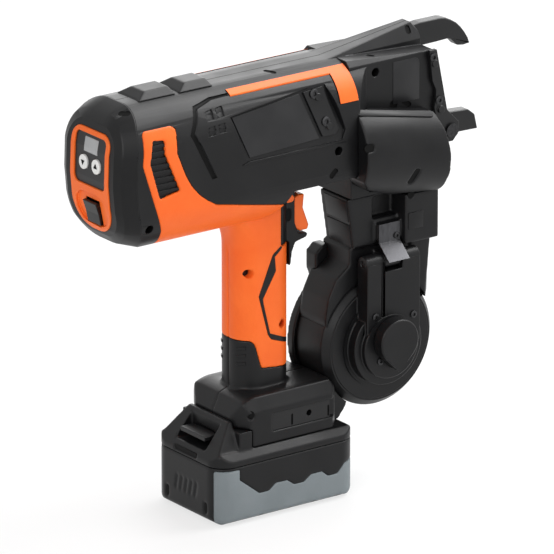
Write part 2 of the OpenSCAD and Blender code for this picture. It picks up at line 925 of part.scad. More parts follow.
module rocker_place() {
    translate([rocker_x, 0, z_mid - rocker_drop]) rotate([0, -rocker_tilt, 0]) children();
}
module rocker_well_cut() {
    rocker_place() block([-reach / 2, -rocker_w / 2 - move_gap, -rocker_len / 2 - rocker_gap],
        [rocker_well, rocker_w / 2 + move_gap, rocker_len / 2 + rocker_gap]);
}
module rear_cap() {
    color(black) difference() {
        intersection() {
            cap_form(0, 0);
            cap_zone();
        }
        cap_form(shell_wall, rear_wall);
        intersection() {
            bezel_plan();
            rear_skin(-over, bezel_t + over);
        }
        for (s = [-1, 1]) intersection() {
            button_plan(s, move_gap);
            rear_skin(-over, bezel_t + button_deep);
        }
        rocker_well_cut();
        rocker_place() rod_y(rocker_deep, 0, rocker_pin_r + run_fit, -rocker_w / 2 - 2 * rocker_pin,
            rocker_w / 2 + 2 * rocker_pin);
    }
}
module panel_bezel() {
    color(orange) difference() {
        intersection() {
            bezel_plan();
            rear_skin(-bezel_proud, bezel_t + bezel_proud);
        }
        pane_plan();
        rocker_well_cut();
        intersection() {
            tray_plan();
            rear_skin(-over - bezel_proud, over + bezel_proud + tray_sink);
        }
    }
}
module panel_plate() {
    color(charcoal) difference() {
        intersection() {
            pane_plan();
            rear_skin(bezel_t / 4, bezel_t * 3 / 4);
        }
        display_plan();
        for (s = [-1, 1]) button_plan(s, move_gap);
    }
}
module display_window() {
    color(grey) intersection() {
        display_plan();
        rear_skin(bezel_t / 8, bezel_t * 7 / 8);
    }
}
module panel_button(side) {
    color(white) intersection() {
        button_plan(side, 0);
        rear_skin(-button_proud, bezel_t + button_deep / 2 + button_proud);
    }
}
module button_down() {
    panel_button(1);
}
module button_up() {
    panel_button(-1);
}
module power_rocker() {
    color(black) rocker_place() {
        side_cut(-rocker_w / 2, rocker_w / 2) polygon([[-over, 0], [-2 * over, rocker_len / 2],
            [over / 2, rocker_len / 2], [rocker_deep + over, rocker_len / 4], [rocker_deep + over,
                -rocker_len / 4],
            [over / 2, -rocker_len / 2], [-over, -rocker_len / 2]]);
        rod_y(rocker_deep, 0, rocker_pin_r, -rocker_w / 2 - rocker_pin, rocker_w / 2 + rocker_pin);
    }
}

// Trigger values
bracket_in = 11;
bracket_back = grip_front - bracket_in;
bracket_w = 21;
bracket_size = [26.5, 64];
bracket_top = 24;
// The bracket's outline: shares from its lower rear corner
bracket_shares = [[0, 0.2812], [0, 1], [0.6, 1], [0.6, 0.4688], [0.72, 0.3406], [0.96, 0.3359], [1, 0.3125],
    [0.96, 0.2812], [0.62, 0.25], [0.52, 0.1562], [0.47, 0.0156], [0.42, 0], [0.42, 0.2812]];
bracket_root_share = 0.28125;
bracket_low = z_under + bracket_top - bracket_size[1];
trigger_w = 17;
trigger_size = [13, 27];
trigger_lead = 5.6;
trigger_drop = 17.6;
trigger_x = grip_front + trigger_lead;
trigger_z = z_under - trigger_drop;
trigger_shares = [[0, 0.12], [0, 0.9], [0.3, 0.97], [0.66, 0.95], [0.58, 0.6], [0.95, 0.12], [0.86, 0],
    [0.4, 0]];
stem_y = 10;
stem_in = 6;
stem_back = grip_front - stem_in;
stem_z_shares = [0.25, 0.62];
well_in = 1.6;
well_back = grip_front - well_in;
well_low_share = 0.340625;
well_high_share = 0.765625;
lock_in = 4.6;
lock_x = grip_front - lock_in;
lock_rise = 10.6;
lock_z = z_under + lock_rise;
lock_w = 7;
lock_h = 5;
lock_len = 36;
switch_in = 12.4;
switch_front = grip_front - switch_in;
switch_len = 20;
switch_h = 24;
switch_w = 25;
switch_rib = 10;
switch_z = z_under - switch_h;

// The handle's top runs up through the housing's raised underside
module grip_root_space() {
    intersection() {
        handle_form(0, z_under - over, z_under + grip_in + over);
        block([-reach, -reach, z_under - over], [bracket_back, reach, reach]);
    }
}
module bracket_space() {
    low = bracket_low + bracket_size[1] * bracket_root_share;
    high = z_under + grip_in + over;
    block([bracket_back, -reach, low], [bracket_back + bracket_size[0], reach, high]);
}
// The bracket's root fills the handle's front where the trigger comes out
module bracket_root() {
    low = bracket_low + bracket_size[1] * bracket_root_share + move_gap;
    intersection() {
        handle_form(move_gap, low, z_under + bracket_top);
        block([bracket_back, -reach, low], [reach, reach, reach]);
    }
}
module lock_plan(grow) {
    translate([lock_x, lock_z]) {
        square([lock_w - lock_h, lock_h + 2 * grow], center = true);
        for (s = [-1, 1]) translate([s * (lock_w - lock_h) / 2, 0]) circle(lock_h / 2 + grow);
    }
}
module trigger_stem(grow) {
    low = trigger_z + trigger_size[1] * stem_z_shares[0];
    high = trigger_z + trigger_size[1] * stem_z_shares[1];
    mid_block(stem_back, trigger_x + over, stem_y + 2 * grow, low - grow, high + grow);
}
module trigger_bracket() {
    color(black) difference() {
        union() {
            side_shape([bracket_back, bracket_low], bracket_size, bracket_shares, -bracket_w / 2,
                bracket_w / 2);
            bracket_root();
        }
        mid_block(well_back, reach, trigger_w + 2 * move_gap, bracket_low + bracket_size[1] * well_low_share,
            bracket_low + bracket_size[1] * well_high_share);
        translate([-stem_back + bracket_back - over, 0, 0]) trigger_stem(move_gap);
        trigger_stem(move_gap);
        side_cut(-reach, reach) lock_plan(move_gap);
        body_form(0);
    }
}
module trigger() {
    color(orange) {
        side_shape([trigger_x, trigger_z], trigger_size, trigger_shares, -trigger_w / 2, trigger_w / 2);
        trigger_stem(0);
    }
}
module trigger_lock() {
    color(orange) side_cut(-lock_len / 2, lock_len / 2) lock_plan(0);
}
module trigger_switch() {
    color(charcoal) {
        mid_block(switch_front - switch_len, switch_front, switch_w, switch_z, switch_z + switch_h);
        mid_block(grip_mid - switch_rib / 2, grip_mid + switch_rib / 2, grip_w - 2 * shell_wall, switch_z,
            switch_z + switch_h);
    }
}

// Nose plates and jaws
nose_plate_in = 11;
nose_plate_drop = 21;
nose_plate_origin = [nose_tip - nose_plate_in, z_mid - nose_plate_drop];
nose_plate_size = [25, 68];
nose_plate_shares = [[0, 1], [0.24, 1], [0.6, 0.35], [1, 0.2], [1, 0.09], [0.8, 0.01], [0.5, 0.01],
    [0.24, 0.26], [0.16, 0.4], [0.22, 0.5], [0.22, 0.58], [0.1, 0.68]];
jaw_pin_lead = 7.6;
jaw_pin_drop = 12.4;
jaw_pin_x = nose_tip + jaw_pin_lead;
jaw_pin_z = z_mid - jaw_pin_drop;
jaw_pin_r = 3;
jaw_hub_r = 6;
pin_head_r = 5;
pin_head_t = 1.6;
upper_jaw_h = 22;
upper_jaw_in = 22;
upper_jaw_rise = 36.6;
upper_jaw_origin = [nose_tip - upper_jaw_in, z_mid + upper_jaw_rise];
upper_jaw_shares = [[0, 0.25], [0, 0.88], [0.34, 1], [0.62, 1], [0.67, 0.975], [0.75, 0.875], [0.83, 0.73],
    [0.89, 0.56], [0.94, 0.375], [0.98, 0.19], [1, 0.03], [0.987, -0.01], [0.92, -0.03], [0.84, 0.005],
    [0.797, 0.135], [0.757, 0.235], [0.711, 0.28], [0.55, 0.26], [0.35, 0.25]];
lower_jaw_h = 13.3;
lower_jaw_shares = [[0, 0.4], [0.41, 0.23], [0.8, 0.15], [0.94, -0.2], [1, -1], [0.41, -0.95],
    [0.1, -0.72], [0, -0.4]];
nose_screw_shares = [[0.17, 0.86], [0.38, 0.37]];

module nose_plate() {
    y = nose_w / 2;
    difference() {
        side_shape(nose_plate_origin, nose_plate_size, nose_plate_shares, -y - plate_t, -y);
        rod_y(jaw_pin_x, jaw_pin_z, jaw_pin_r + run_fit, -reach, 0);
    }
    for (p = [for (q = spread(nose_screw_shares, nose_plate_size)) nose_plate_origin + q])
        rod_y(p[0], p[1], plate_screw_r, -y - plate_t - plate_screw_t, -y - plate_t / 2);
}
module nose_plates() {
    color(charcoal) each_side() nose_plate();
}
module jaw_blank() {
    side_shape(upper_jaw_origin, [upper_jaw_len, upper_jaw_h], upper_jaw_shares, -jaw_t / 2, jaw_t / 2);
}
module upper_jaw() {
    color(charcoal) jaw_blank();
}
module lower_jaw() {
    half = nose_w / 2 - move_gap;
    color(charcoal) difference() {
        union() {
            side_shape([jaw_pin_x, jaw_pin_z], [lower_jaw_len, lower_jaw_h], lower_jaw_shares, -jaw_t / 2,
                jaw_t / 2);
            rod_y(jaw_pin_x, jaw_pin_z, jaw_hub_r, -half, half);
        }
        rod_y(jaw_pin_x, jaw_pin_z, jaw_pin_r + run_fit, -reach, reach);
    }
}
module lower_jaw_pin() {
    y = nose_w / 2 + plate_t;
    color(steel) {
        rod_y(jaw_pin_x, jaw_pin_z, jaw_pin_r, -y - pin_head_t, y + pin_head_t);
        for (s = [-1, 1])
            rod_y(jaw_pin_x, jaw_pin_z, pin_head_r, s * (y + pin_head_t / 2) - pin_head_t / 2,
                s * (y + pin_head_t / 2) + pin_head_t / 2);
    }
}

// Feeder values
frame_back = 60;
frame_front = 132;
frame_left = 24;
frame_wall = 3;
cover_back = 56;
cover_drop = 2;
cover_origin = [cover_back, z_feed - cover_drop];
cover_size = [71, 68];
cover_shares = [[0, 1], [0.9, 0.83], [0.955, 0.66], [0.985, 0.45], [1, 0.2], [0.985, 0.03], [0.955, 0],
    [0.4, 0.06], [0.09, 0.18], [0.01, 0.29]];
cover_y = -12;
cover_rise = 30;
cover_x = 96;
cover_pitch = 8;
cover_wall = 3;
cover_room = [[72, -46], [119, -26]];
cover_room_low = 8;
cover_room_high = 50;
wire_way = [[98, 124], 10];
roller_w = 10;
roller_gap = 0.6;
roller_x = 104;
roller_rise = 20;
roller_z = z_feed + roller_rise;
post_r = 4.5;
pin_r = 2.5;
feed_motor_r = 11;
feed_motor_span = [75.4, 88];
feed_motor_y = -31;
feed_plate_t = 3;
feed_shaft_r = 2;
back_cover_t = 4;
back_cover_inset = 3;
back_cover_corner = 8;

module cover_form(i) {
    intersection() {
        translate([cover_x, cover_y, z_feed + cover_rise]) rotate([0, cover_pitch, 0])
            rod_x(0, 0, cover_r - i, -reach / 2, reach / 2);
        side_shape(cover_origin, cover_size, cover_shares, -reach, -nose_w / 2);
    }
}
module feeder_cover() {
    color(black) difference() {
        cover_form(0);
        intersection() {
            cover_form(cover_wall);
            block([cover_room[0][0], cover_room[0][1], z_feed + cover_room_low],
                [cover_room[1][0], cover_room[1][1] + over, z_feed + cover_room_high]);
        }
        body_form(-move_gap);
        nose_plate();
        rod_y(jaw_pin_x, jaw_pin_z, pin_head_r + move_gap, -reach, 0);
    }
}
module feeder_frame() {
    color(black) {
        difference() {
            block([frame_back, -nose_w / 2, z_feed], [frame_front, frame_left, z_nose]);
            body_form(0);
            block([body_front + frame_wall, -nose_w / 2 - over, z_feed + frame_wall],
                [frame_front - frame_wall, frame_left - frame_wall, z_nose - frame_wall]);
            mid_block(wire_way[0][0], wire_way[0][1], wire_way[1], z_feed - over, z_feed + frame_wall + over);
        }
        for (n = [0, 1]) {
            x = roller_x + n * (2 * roller_r + roller_gap);
            rod_y(x, roller_z, post_r, roller_w / 2 + move_gap, frame_left - frame_wall + over);
            rod_y(x, roller_z, pin_r, -roller_w / 2, roller_w / 2 + over);
        }
    }
}
module feeder_back_cover() {
    color(black) translate([0, frame_left + back_cover_t, 0])
        translate([(body_front + frame_front) / 2, 0, (z_feed + z_nose) / 2]) rotate([90, 0, 0])
        linear_extrude(back_cover_t)
        soft_rect(frame_front - body_front - 2 * back_cover_inset, feed_h - 2 * back_cover_inset,
            back_cover_corner);
}
module feed_motor() {
    z = roller_z;
    low = z_feed + frame_wall;
    color(steel) {
        rod_x(feed_motor_y, z, feed_motor_r, feed_motor_span[0], feed_motor_span[1]);
        rod_x(feed_motor_y, z, feed_shaft_r, feed_motor_span[1], feed_motor_span[1] + 2 * feed_plate_t);
        block([feed_motor_span[1], -nose_w / 2, low],
            [feed_motor_span[1] + feed_plate_t, frame_left - frame_wall, z_nose - frame_wall]);
    }
}
module feed_roller(n) {
    x = roller_x + n * (2 * roller_r + roller_gap);
    groove = roller_gap;
    difference() {
        rod_y(x, roller_z, roller_r, -roller_w / 2, roller_w / 2);
        difference() {
            rod_y(x, roller_z, roller_r + over, -groove, groove);
            rod_y(x, roller_z, roller_r - groove, -roller_w, roller_w);
        }
        rod_y(x, roller_z, pin_r + run_fit, -roller_w, roller_w);
    }
}
module feed_drive_roller() {
    color(steel) feed_roller(0);
}
module feed_idler_roller() {
    color(steel) feed_roller(1);
}

// Reel values
neck_origin = [50, drum_z];
neck_size = [88, neck_drop];
// The neck's upper column and the saddle below it that runs into the drum
column_shares = [[0.098, 1], [0.892, 1], [0.892, 0.64], [0.847, 0.255], [0.807, 0.11], [0.705, 0.11],
    [0.705, 0.66], [0.16, 0.66]];
saddle_shares = [[0.136, 0.66], [0.136, 0.547], [0.017, 0.472], [-0.057, 0.349], [-0.085, 0.208],
    [-0.068, 0.075], [0.41, 0], [0.841, 0.075], [0.875, 0.264], [0.892, 0.64], [0.892, 0.66]];
neck_right = 24;
neck_left = 8;
saddle_right = 22;
seat_gap = 0.1;
neck_room = [[70, 118], [-14, 4]];
neck_room_low = 52;
recess_shares_x = [0.34, 0.57];
recess_low = 88;
recess_high = 104;
recess_deep = 7;
post_shares_x = [0.574, 0.892];
post_low = 68.6;
post_proud = 9;
wire_slot = [[100, 120], 8];
drum_wall = 3;
drum_back_t = 3;
drum_lip = 3;
drum_chamfer = 5;
lug_origin_shares = [-0.72, 1];
lug_origin = [drum_x, drum_z] + drum_r * lug_origin_shares;
lug_size = [15, 20];
lug_shares = [[0, 0.2], [0, 0.75], [0.4, 1], [0.8, 1], [0.93, -0.25], [0.3, -0.45]];
lug_w = 12;
spindle_pin_r = 6;
spindle_collar_r = 9;
hub_r = 15;
flange_t = 1.8;
spool_half = 13;
spool_r = drum_r - drum_wall - spool_gap;
wire_sink = 5;
wire_outer_r = spool_r - wire_sink;
arm_back_y = drum_near - move_gap;
arm_t = 11.7;
arm_front_y = arm_back_y - arm_t;
arm_lead = 2.7;
arm_x = drum_x + arm_lead;
hinge_y = (arm_back_y + arm_front_y) / 2;
hinge_rise = 60;
hinge_z = drum_z + hinge_rise;
barrel_r = 5.6;
hinge_pin_r = 2;
pin_inset = 1;
knuckle_w = 14;
knuckle_r = 5.2;
knuckle_gap = 1;
// The door's stepped dome: shares of the door's radius, and how far each step stands forward of the drum's face
dome_shares = [0.764, 0.69, 0.554];
dome_proud = [1.6, 9.5, 13.5];
door_in = 3;
clip_w = 17.5;
clip_t = 1.2;
clip_lead = 4;
clip_x = drum_x + clip_lead;
clip_top = 85;
clip_bend = 72;
clip_tip = 61.4;
clip_seat = 4;
clip_reach = 11.5;
groove_w = 2.4;
groove_lead = -6.5;
groove_x = drum_x + groove_lead;
groove_low = 22;
groove_high = 61;
groove_deep = 2;
knob_r = 15.5;
knob_rise = 6;
knob_tip_r = 2;
knob_tip = 13;
knob_t = 9.5;
knob_shaft_r = 3.5;
knob_side_shares = [[-0.703, -0.323], [0.703, -0.323], [0.09, -0.93], [-0.09, -0.93]];

// A turned piece about the drum's axis: its outline is radius and place along Y
module turned(points) {
    translate([drum_x, drum_mid, drum_z]) rotate([-90, 0, 0]) rotate_extrude() polygon(points);
}
module drum_shell() {
    half = drum_w / 2;
    inner = drum_r - drum_wall;
    color(black) difference() {
        turned([[inner, half - drum_back_t], [drum_r, half - drum_back_t], [drum_r, drum_chamfer - half],
            [drum_r - drum_chamfer, -half], [door_r + 2 * move_gap, -half], [door_r + 2 * move_gap,
                drum_lip - half],
            [inner, drum_lip - half]]);
        mid_block(wire_slot[0][0], wire_slot[0][1], wire_slot[1], drum_z, reach);
    }
}
module drum_back() {
    half = drum_w / 2;
    color(black) difference() {
        union() {
            turned([[0, half - drum_back_t], [drum_r + seat_gap, half - drum_back_t], [drum_r + seat_gap,
                half - rim_w],
                [rim_r, half - rim_w], [rim_r, half], [0, half]]);
            difference() {
                side_shape(lug_origin, lug_size, lug_shares, drum_far - lug_w, drum_far);
                rod_y(drum_x, drum_z, rim_r - over, -reach, reach);
            }
        }
        rod_y(drum_x, drum_z, spindle_pin_r + run_fit, -reach, reach);
        mid_block(wire_slot[0][0], wire_slot[0][1], wire_slot[1], drum_z, reach);
    }
}
module spool_spindle() {
    color(steel) {
        rod_y(drum_x, drum_z, spindle_pin_r, drum_mid - spool_half, drum_far);
        rod_y(drum_x, drum_z, 2 * spindle_pin_r, drum_far, drum_far + drum_back_t / 2);
        rod_y(drum_x, drum_z, spindle_collar_r, drum_mid + spool_half + move_gap, drum_far - drum_back_t);
    }
}
module wire_spool() {
    bore = spindle_pin_r + run_fit;
    color(charcoal) turned([[bore, -spool_half], [spool_r, -spool_half], [spool_r, flange_t - spool_half],
        [hub_r, flange_t - spool_half], [hub_r, spool_half - flange_t], [spool_r, spool_half - flange_t],
        [spool_r, spool_half], [bore, spool_half]]);
}
module wire_coil() {
    wide = spool_half - flange_t - seat_gap;
    color(steel) turned([[hub_r + seat_gap, -wide], [wire_outer_r, -wide], [wire_outer_r, wide],
        [hub_r + seat_gap, wide]]);
}
module reel_neck() {
    front = -neck_right - post_proud;
    x0 = neck_origin[0];
    span = neck_size[0];
    color(black) difference() {
        union() {
            side_shape(neck_origin, neck_size, column_shares, -neck_right, neck_left);
            side_shape(neck_origin, neck_size, saddle_shares, -saddle_right, drum_far - rim_w - seat_gap);
            block([x0 + span * post_shares_x[0], front, drum_z + post_low],
                [x0 + span * post_shares_x[1], over - neck_right, cover_origin[1] - move_gap]);
            block([clip_x - clip_w / 2, -neck_right - clip_seat, drum_z + clip_bend + over],
                [clip_x + clip_w / 2, over - neck_right, drum_z + clip_top]);
            block([arm_x - knuckle_w / 2, hinge_y, hinge_z - knuckle_r],
                [arm_x + knuckle_w / 2, over - saddle_right, hinge_z + knuckle_r]);
            rod_x(hinge_y, hinge_z, knuckle_r, arm_x - knuckle_w / 2, arm_x + knuckle_w / 2);
        }
        rod_y(drum_x, drum_z, drum_r + seat_gap, -reach, reach);
        rod_y(drum_x, drum_z, rim_r + seat_gap, drum_far - rim_w - seat_gap, reach);
        translate([0, seat_gap, 0]) side_shape(lug_origin, lug_size, lug_shares,
            drum_far - lug_w - 2 * seat_gap, reach);
        block([neck_room[0][0], neck_room[1][0], drum_z + neck_room_low],
            [neck_room[0][1], neck_room[1][1], z_feed + over]);
        block([x0 + span * recess_shares_x[0], -reach, drum_z + recess_low],
            [x0 + span * recess_shares_x[1], recess_deep - neck_right, drum_z + recess_high]);
        mid_block(wire_slot[0][0], wire_slot[0][1], wire_slot[1], drum_z, z_feed + over);
        rod_x(hinge_y, hinge_z, hinge_pin_r + run_fit, -reach, reach);
    }
}
module door_hinge_pin() {
    half = arm_w / 2 - pin_inset;
    color(steel) rod_x(hinge_y, hinge_z, hinge_pin_r, arm_x - half, arm_x + half);
}
module reel_door() {
    half = drum_w / 2;
    last = len(dome_shares) - 1;
    steps = [for (n = [0 : last], k = [0, 1])
        [door_r * dome_shares[n], -half - (k == 1 ? dome_proud[n] : n == 0 ? move_gap : dome_proud[n - 1])]];
    color(black) difference() {
        union() {
            turned(concat([[0, door_in - half], [door_r, door_in - half], [door_r, -half - move_gap]], steps,
                [[0, -half - dome_proud[last]]]));
            block([arm_x - arm_w / 2, arm_front_y, drum_z], [arm_x + arm_w / 2, arm_back_y, hinge_z]);
            rod_x(hinge_y, hinge_z, barrel_r, arm_x - arm_w / 2, arm_x + arm_w / 2);
        }
        block([arm_x - knuckle_w / 2 - move_gap, -reach, hinge_z - knuckle_r - knuckle_gap],
            [arm_x + knuckle_w / 2 + move_gap, reach, reach]);
        rod_x(hinge_y, hinge_z, hinge_pin_r + run_fit, -reach, reach);
        rod_y(drum_x, drum_z, knob_shaft_r + run_fit, -reach, reach);
        block([groove_x - groove_w / 2, arm_front_y - over, drum_z + groove_low],
            [groove_x + groove_w / 2, arm_front_y + groove_deep, drum_z + groove_high]);
    }
}
module door_spring_clip() {
    face = -neck_right - clip_seat;
    tip = face - clip_reach;
    color(steel) cross_cut(clip_x - clip_w / 2, clip_x + clip_w / 2) polygon([[face, drum_z + clip_top],
        [face - clip_t, drum_z + clip_top], [face - clip_t, drum_z + clip_bend], [tip - clip_t,
            drum_z + clip_tip],
        [tip, drum_z + clip_tip], [face, drum_z + clip_bend]]);
}
module lock_knob() {
    front = drum_near - dome_proud[len(dome_proud) - 1] - move_gap;
    color(charcoal) {
        translate([drum_x, 0, drum_z]) side_cut(front - knob_t, front) {
            translate([0, knob_rise]) circle(knob_r);
            translate([0, -knob_tip]) circle(knob_tip_r);
            polygon(spread(knob_side_shares, [knob_r, knob_r]));
        }
        rod_y(drum_x, drum_z, knob_shaft_r, front - over, drum_mid - spool_half - 2 * move_gap);
    }
}

// Twisting drive values
sun_teeth = 12;
planet_teeth = 18;
ring_teeth = sun_teeth + 2 * planet_teeth;
tip_share = 0.8;
root_share = 1.2;
root_half_share = 0.26;
tip_half_share = 0.14;
orbit = tooth * (sun_teeth + planet_teeth) / 2;
case_back = -36;
flange_w = 6;
ring_w = 24;
case_wall = 4;
gear_back = -26;
gear_front = -13;
carrier_back = -11;
carrier_t = 4;
cover_t = 6;
motor_shaft_r = 3;
stator_wall = 8;
stator_end = 4;
rotor_gap = 0.6;
planet_pin_r = 2.5;
twist_head_r = 10;
twist_head_t = 4;
prong_len = 11;
prong_w = 5;
case_fit = 0.1;
case_front = case_back + flange_w + ring_w;
ring_r = tooth * ring_teeth / 2;
case_r = ring_r + root_share * tooth + case_wall;

// One turn of straight sided teeth: half widths at the root and at the tip are shares of the tooth pitch
function tooth_points(count, root_r, tip_r, root_half, tip_half, phase) = [for (n = [0 : count - 1],
    k = [0 : 3])
    let (half = [-root_half, -tip_half, tip_half, root_half], turn = 360 / count * (n + phase + half[k]),
        r = (k == 0 || k == 3) ? root_r : tip_r)
    [r * cos(turn), r * sin(turn)]];
module outer_gear(count, x0, x1) {
    r = tooth * count / 2;
    cross_cut(x0, x1) polygon(tooth_points(count, r - root_share * tooth, r + tip_share * tooth,
        root_half_share,
        tip_half_share, 0));
}
module on_axis() {
    translate([0, 0, axis_z]) children();
}
module motor_stator() {
    rear = case_back - motor_len;
    color(charcoal) on_axis() difference() {
        rod_x(0, 0, motor_r, rear, case_back);
        rod_x(0, 0, motor_r - stator_wall, rear + stator_end, case_back + over);
        rod_x(0, 0, motor_shaft_r + run_fit, rear - over, case_back);
    }
}
module motor_rotor() {
    rear = case_back - motor_len;
    color(steel) on_axis() {
        rod_x(0, 0, motor_r - stator_wall - rotor_gap, rear + 2 * stator_end, case_back - stator_end);
        rod_x(0, 0, motor_shaft_r, rear - stator_end, gear_front);
        outer_gear(sun_teeth, gear_back, gear_front);
    }
}
module gearbox_case() {
    color(charcoal) difference() {
        union() {
            intersection() {
                body_form(shell_wall + case_fit);
                block([case_back, -reach, -reach], [case_back + flange_w, reach, reach]);
            }
            on_axis() rod_x(0, 0, case_r, case_back, case_front);
        }
        label_backing();
        on_axis() rod_x(0, 0, motor_shaft_r + run_fit, case_back - over, case_front);
        on_axis() cross_cut(case_back + flange_w, case_front + over)
            polygon(tooth_points(ring_teeth, ring_r - tip_share * tooth, ring_r + root_share * tooth,
                0.5 - tip_half_share, 0.5 - root_half_share, 0.5));
        on_axis() rod_x(0, 0, ring_r - tip_share * tooth, case_back + flange_w, case_front + over);
    }
}
module gearbox_cover() {
    color(charcoal) on_axis() difference() {
        rod_x(0, 0, case_r, case_front, case_front + cover_t);
        rod_x(0, 0, spindle_r + run_fit, case_front - over, case_front + cover_t + over);
    }
}
module planet_gear(n) {
    color(steel) on_axis() rotate([n * 120, 0, 0]) difference() {
        translate([0, orbit, 0]) rotate([180 / planet_teeth, 0, 0]) outer_gear(planet_teeth, gear_back,
            gear_front);
        rod_x(orbit, 0, planet_pin_r + run_fit, gear_back - over, gear_front + over);
    }
}
module planet_gear_1() {
    planet_gear(0);
}
module planet_gear_2() {
    planet_gear(1);
}
module planet_gear_3() {
    planet_gear(2);
}
module twist_spindle() {
    head = nose_tip + over;
    color(steel) on_axis() {
        rod_x(0, 0, orbit + 2 * planet_pin_r, carrier_back, carrier_back + carrier_t);
        rod_x(0, 0, spindle_r, carrier_back, head + twist_head_t);
        for (n = [0 : 2]) rotate([n * 120, 0, 0]) rod_x(orbit, 0, planet_pin_r, gear_back,
            carrier_back + over);
        rod_x(0, 0, twist_head_r, head, head + twist_head_t);
        for (s = [-1, 1])
            translate([head + twist_head_t + prong_len / 2, 0, s * (twist_head_r - prong_w / 2 - over)])
                cube([prong_len, prong_w, prong_w], center = true);
    }
}

body_shell_right();
body_shell_left();
handle_shell_right();
handle_shell_left();
rear_cap();
panel_bezel();
panel_plate();
display_window();
button_down();
button_up();
power_rocker();
vent_louvres();
accent_strips();
label_plates();
screw_plates();
top_pads();
grip_band();
trigger();
trigger_bracket();
trigger_lock();
trigger_switch();
nose_plates();
upper_jaw();
lower_jaw();
lower_jaw_pin();
feeder_cover();
feeder_frame();
feeder_back_cover();
feed_motor();
feed_drive_roller();
feed_idler_roller();
reel_neck();
drum_shell();
drum_back();
spool_spindle();
wire_spool();
wire_coil();
reel_door();
door_hinge_pin();
door_spring_clip();
lock_knob();
foot_shell_right();
foot_shell_left();
hook_plates();
tool_terminals();
control_board();
battery_tub();
battery_bumper();
battery_lid();
battery_latch();
battery_cells();
motor_stator();
motor_rotor();
gearbox_case();
gearbox_cover();
planet_gear_1();
planet_gear_2();
planet_gear_3();
twist_spindle();
housing_screws();
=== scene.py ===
# %% [markdown]
# # A battery rebar tying tool
# The solid model of the tool comes in as a fixed frame. This lesson dresses it: soft edges on every
# moulding, screw wells carved into the covers, small parts that the solids leave out, finishes, light and
# a camera.

# %% Load the frame
import json
import math

import bmesh
import bpy
from mathutils import Matrix, Vector


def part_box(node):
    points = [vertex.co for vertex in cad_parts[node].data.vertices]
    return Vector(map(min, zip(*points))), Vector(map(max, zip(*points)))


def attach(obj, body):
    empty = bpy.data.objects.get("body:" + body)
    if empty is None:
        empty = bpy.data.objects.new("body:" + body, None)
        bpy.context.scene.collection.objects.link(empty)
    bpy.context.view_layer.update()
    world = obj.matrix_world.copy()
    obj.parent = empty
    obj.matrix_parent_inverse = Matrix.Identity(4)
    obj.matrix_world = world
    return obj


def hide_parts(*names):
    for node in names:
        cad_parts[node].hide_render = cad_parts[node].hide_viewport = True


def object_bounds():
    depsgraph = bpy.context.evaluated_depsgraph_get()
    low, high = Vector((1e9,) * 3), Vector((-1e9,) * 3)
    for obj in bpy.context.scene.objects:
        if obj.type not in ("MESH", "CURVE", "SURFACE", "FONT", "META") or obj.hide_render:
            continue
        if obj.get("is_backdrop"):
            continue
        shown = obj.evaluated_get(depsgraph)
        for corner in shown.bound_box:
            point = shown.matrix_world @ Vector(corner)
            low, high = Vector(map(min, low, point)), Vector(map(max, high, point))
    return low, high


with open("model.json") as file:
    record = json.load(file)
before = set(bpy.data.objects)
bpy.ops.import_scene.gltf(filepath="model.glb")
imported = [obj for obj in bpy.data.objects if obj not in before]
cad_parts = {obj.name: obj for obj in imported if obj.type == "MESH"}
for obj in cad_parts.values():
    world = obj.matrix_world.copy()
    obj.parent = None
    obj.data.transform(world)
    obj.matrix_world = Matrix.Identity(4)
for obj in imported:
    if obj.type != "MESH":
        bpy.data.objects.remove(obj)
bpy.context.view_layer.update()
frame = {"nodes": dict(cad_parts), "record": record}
MM = 0.001

# %% [markdown]
# ## The camera
# A product photograph is taken from far away with a long lens, so upright lines stay upright and the
# near side is hardly larger than the far side. A camera six metres off with a very long lens does that.

# %% Camera
IMAGE_SIDE = 554
SENSOR = 36.0
PIXELS_PER_MM = 1.48
CAMERA_AWAY = 6.0
CAMERA_REACH = 40.0
AZIMUTH = math.radians(-36.0)
ELEVATION = math.radians(19.1)
AIM_RIGHT = 14.2 * MM
AIM_UP = 148.0 * MM

back = Vector((math.sin(AZIMUTH) * math.cos(ELEVATION),
               -math.cos(AZIMUTH) * math.cos(ELEVATION),
               math.sin(ELEVATION)))
right = Vector((0, 0, 1)).cross(back).normalized()
up = back.cross(right)
camera_data = bpy.data.cameras.new("camera")
camera_data.sensor_width = SENSOR
camera_data.lens = PIXELS_PER_MM * CAMERA_AWAY / MM * SENSOR / IMAGE_SIDE
camera_data.clip_end = CAMERA_REACH
camera = bpy.data.objects.new("camera", camera_data)
camera.location = right * AIM_RIGHT + up * AIM_UP + back * CAMERA_AWAY
camera.rotation_mode = "QUATERNION"
camera.rotation_quaternion = back.to_track_quat("Z", "Y")
bpy.context.scene.collection.objects.link(camera)
bpy.context.scene.camera = camera
print("lens in mm:", round(camera_data.lens))

# %% [markdown]
# ## Finishes
# The tool is mostly moulded plastic. Its moulds are etched, so the plastic has a fine grain that breaks
# up the shine. One function makes a moulding from a colour, a roughness and a grain size; the noise reads
# Object coordinates, so that the grain keeps its size on every piece.

# %% Helpers for all finishes
NOISE_LOW, NOISE_HIGH = 0.3, 0.7
GRAIN_STRENGTH = 0.6
finishes = []


def finish_base(name, colour, roughness, metallic=0.0, shine=0.5):
    """A new material with its shader set; returns the material, its nodes, links and shader."""
    material = bpy.data.materials.new(name)
    material.use_nodes = True
    nodes, links = material.node_tree.nodes, material.node_tree.links
    shader = nodes["Principled BSDF"]
    shader.inputs["Base Color"].default_value = (*colour, 1.0)
    shader.inputs["Roughness"].default_value = roughness
    shader.inputs["Metallic"].default_value = metallic
    shader.inputs["Specular IOR Level"].default_value = shine
    finishes.append(name)
    return material, nodes, links, shader


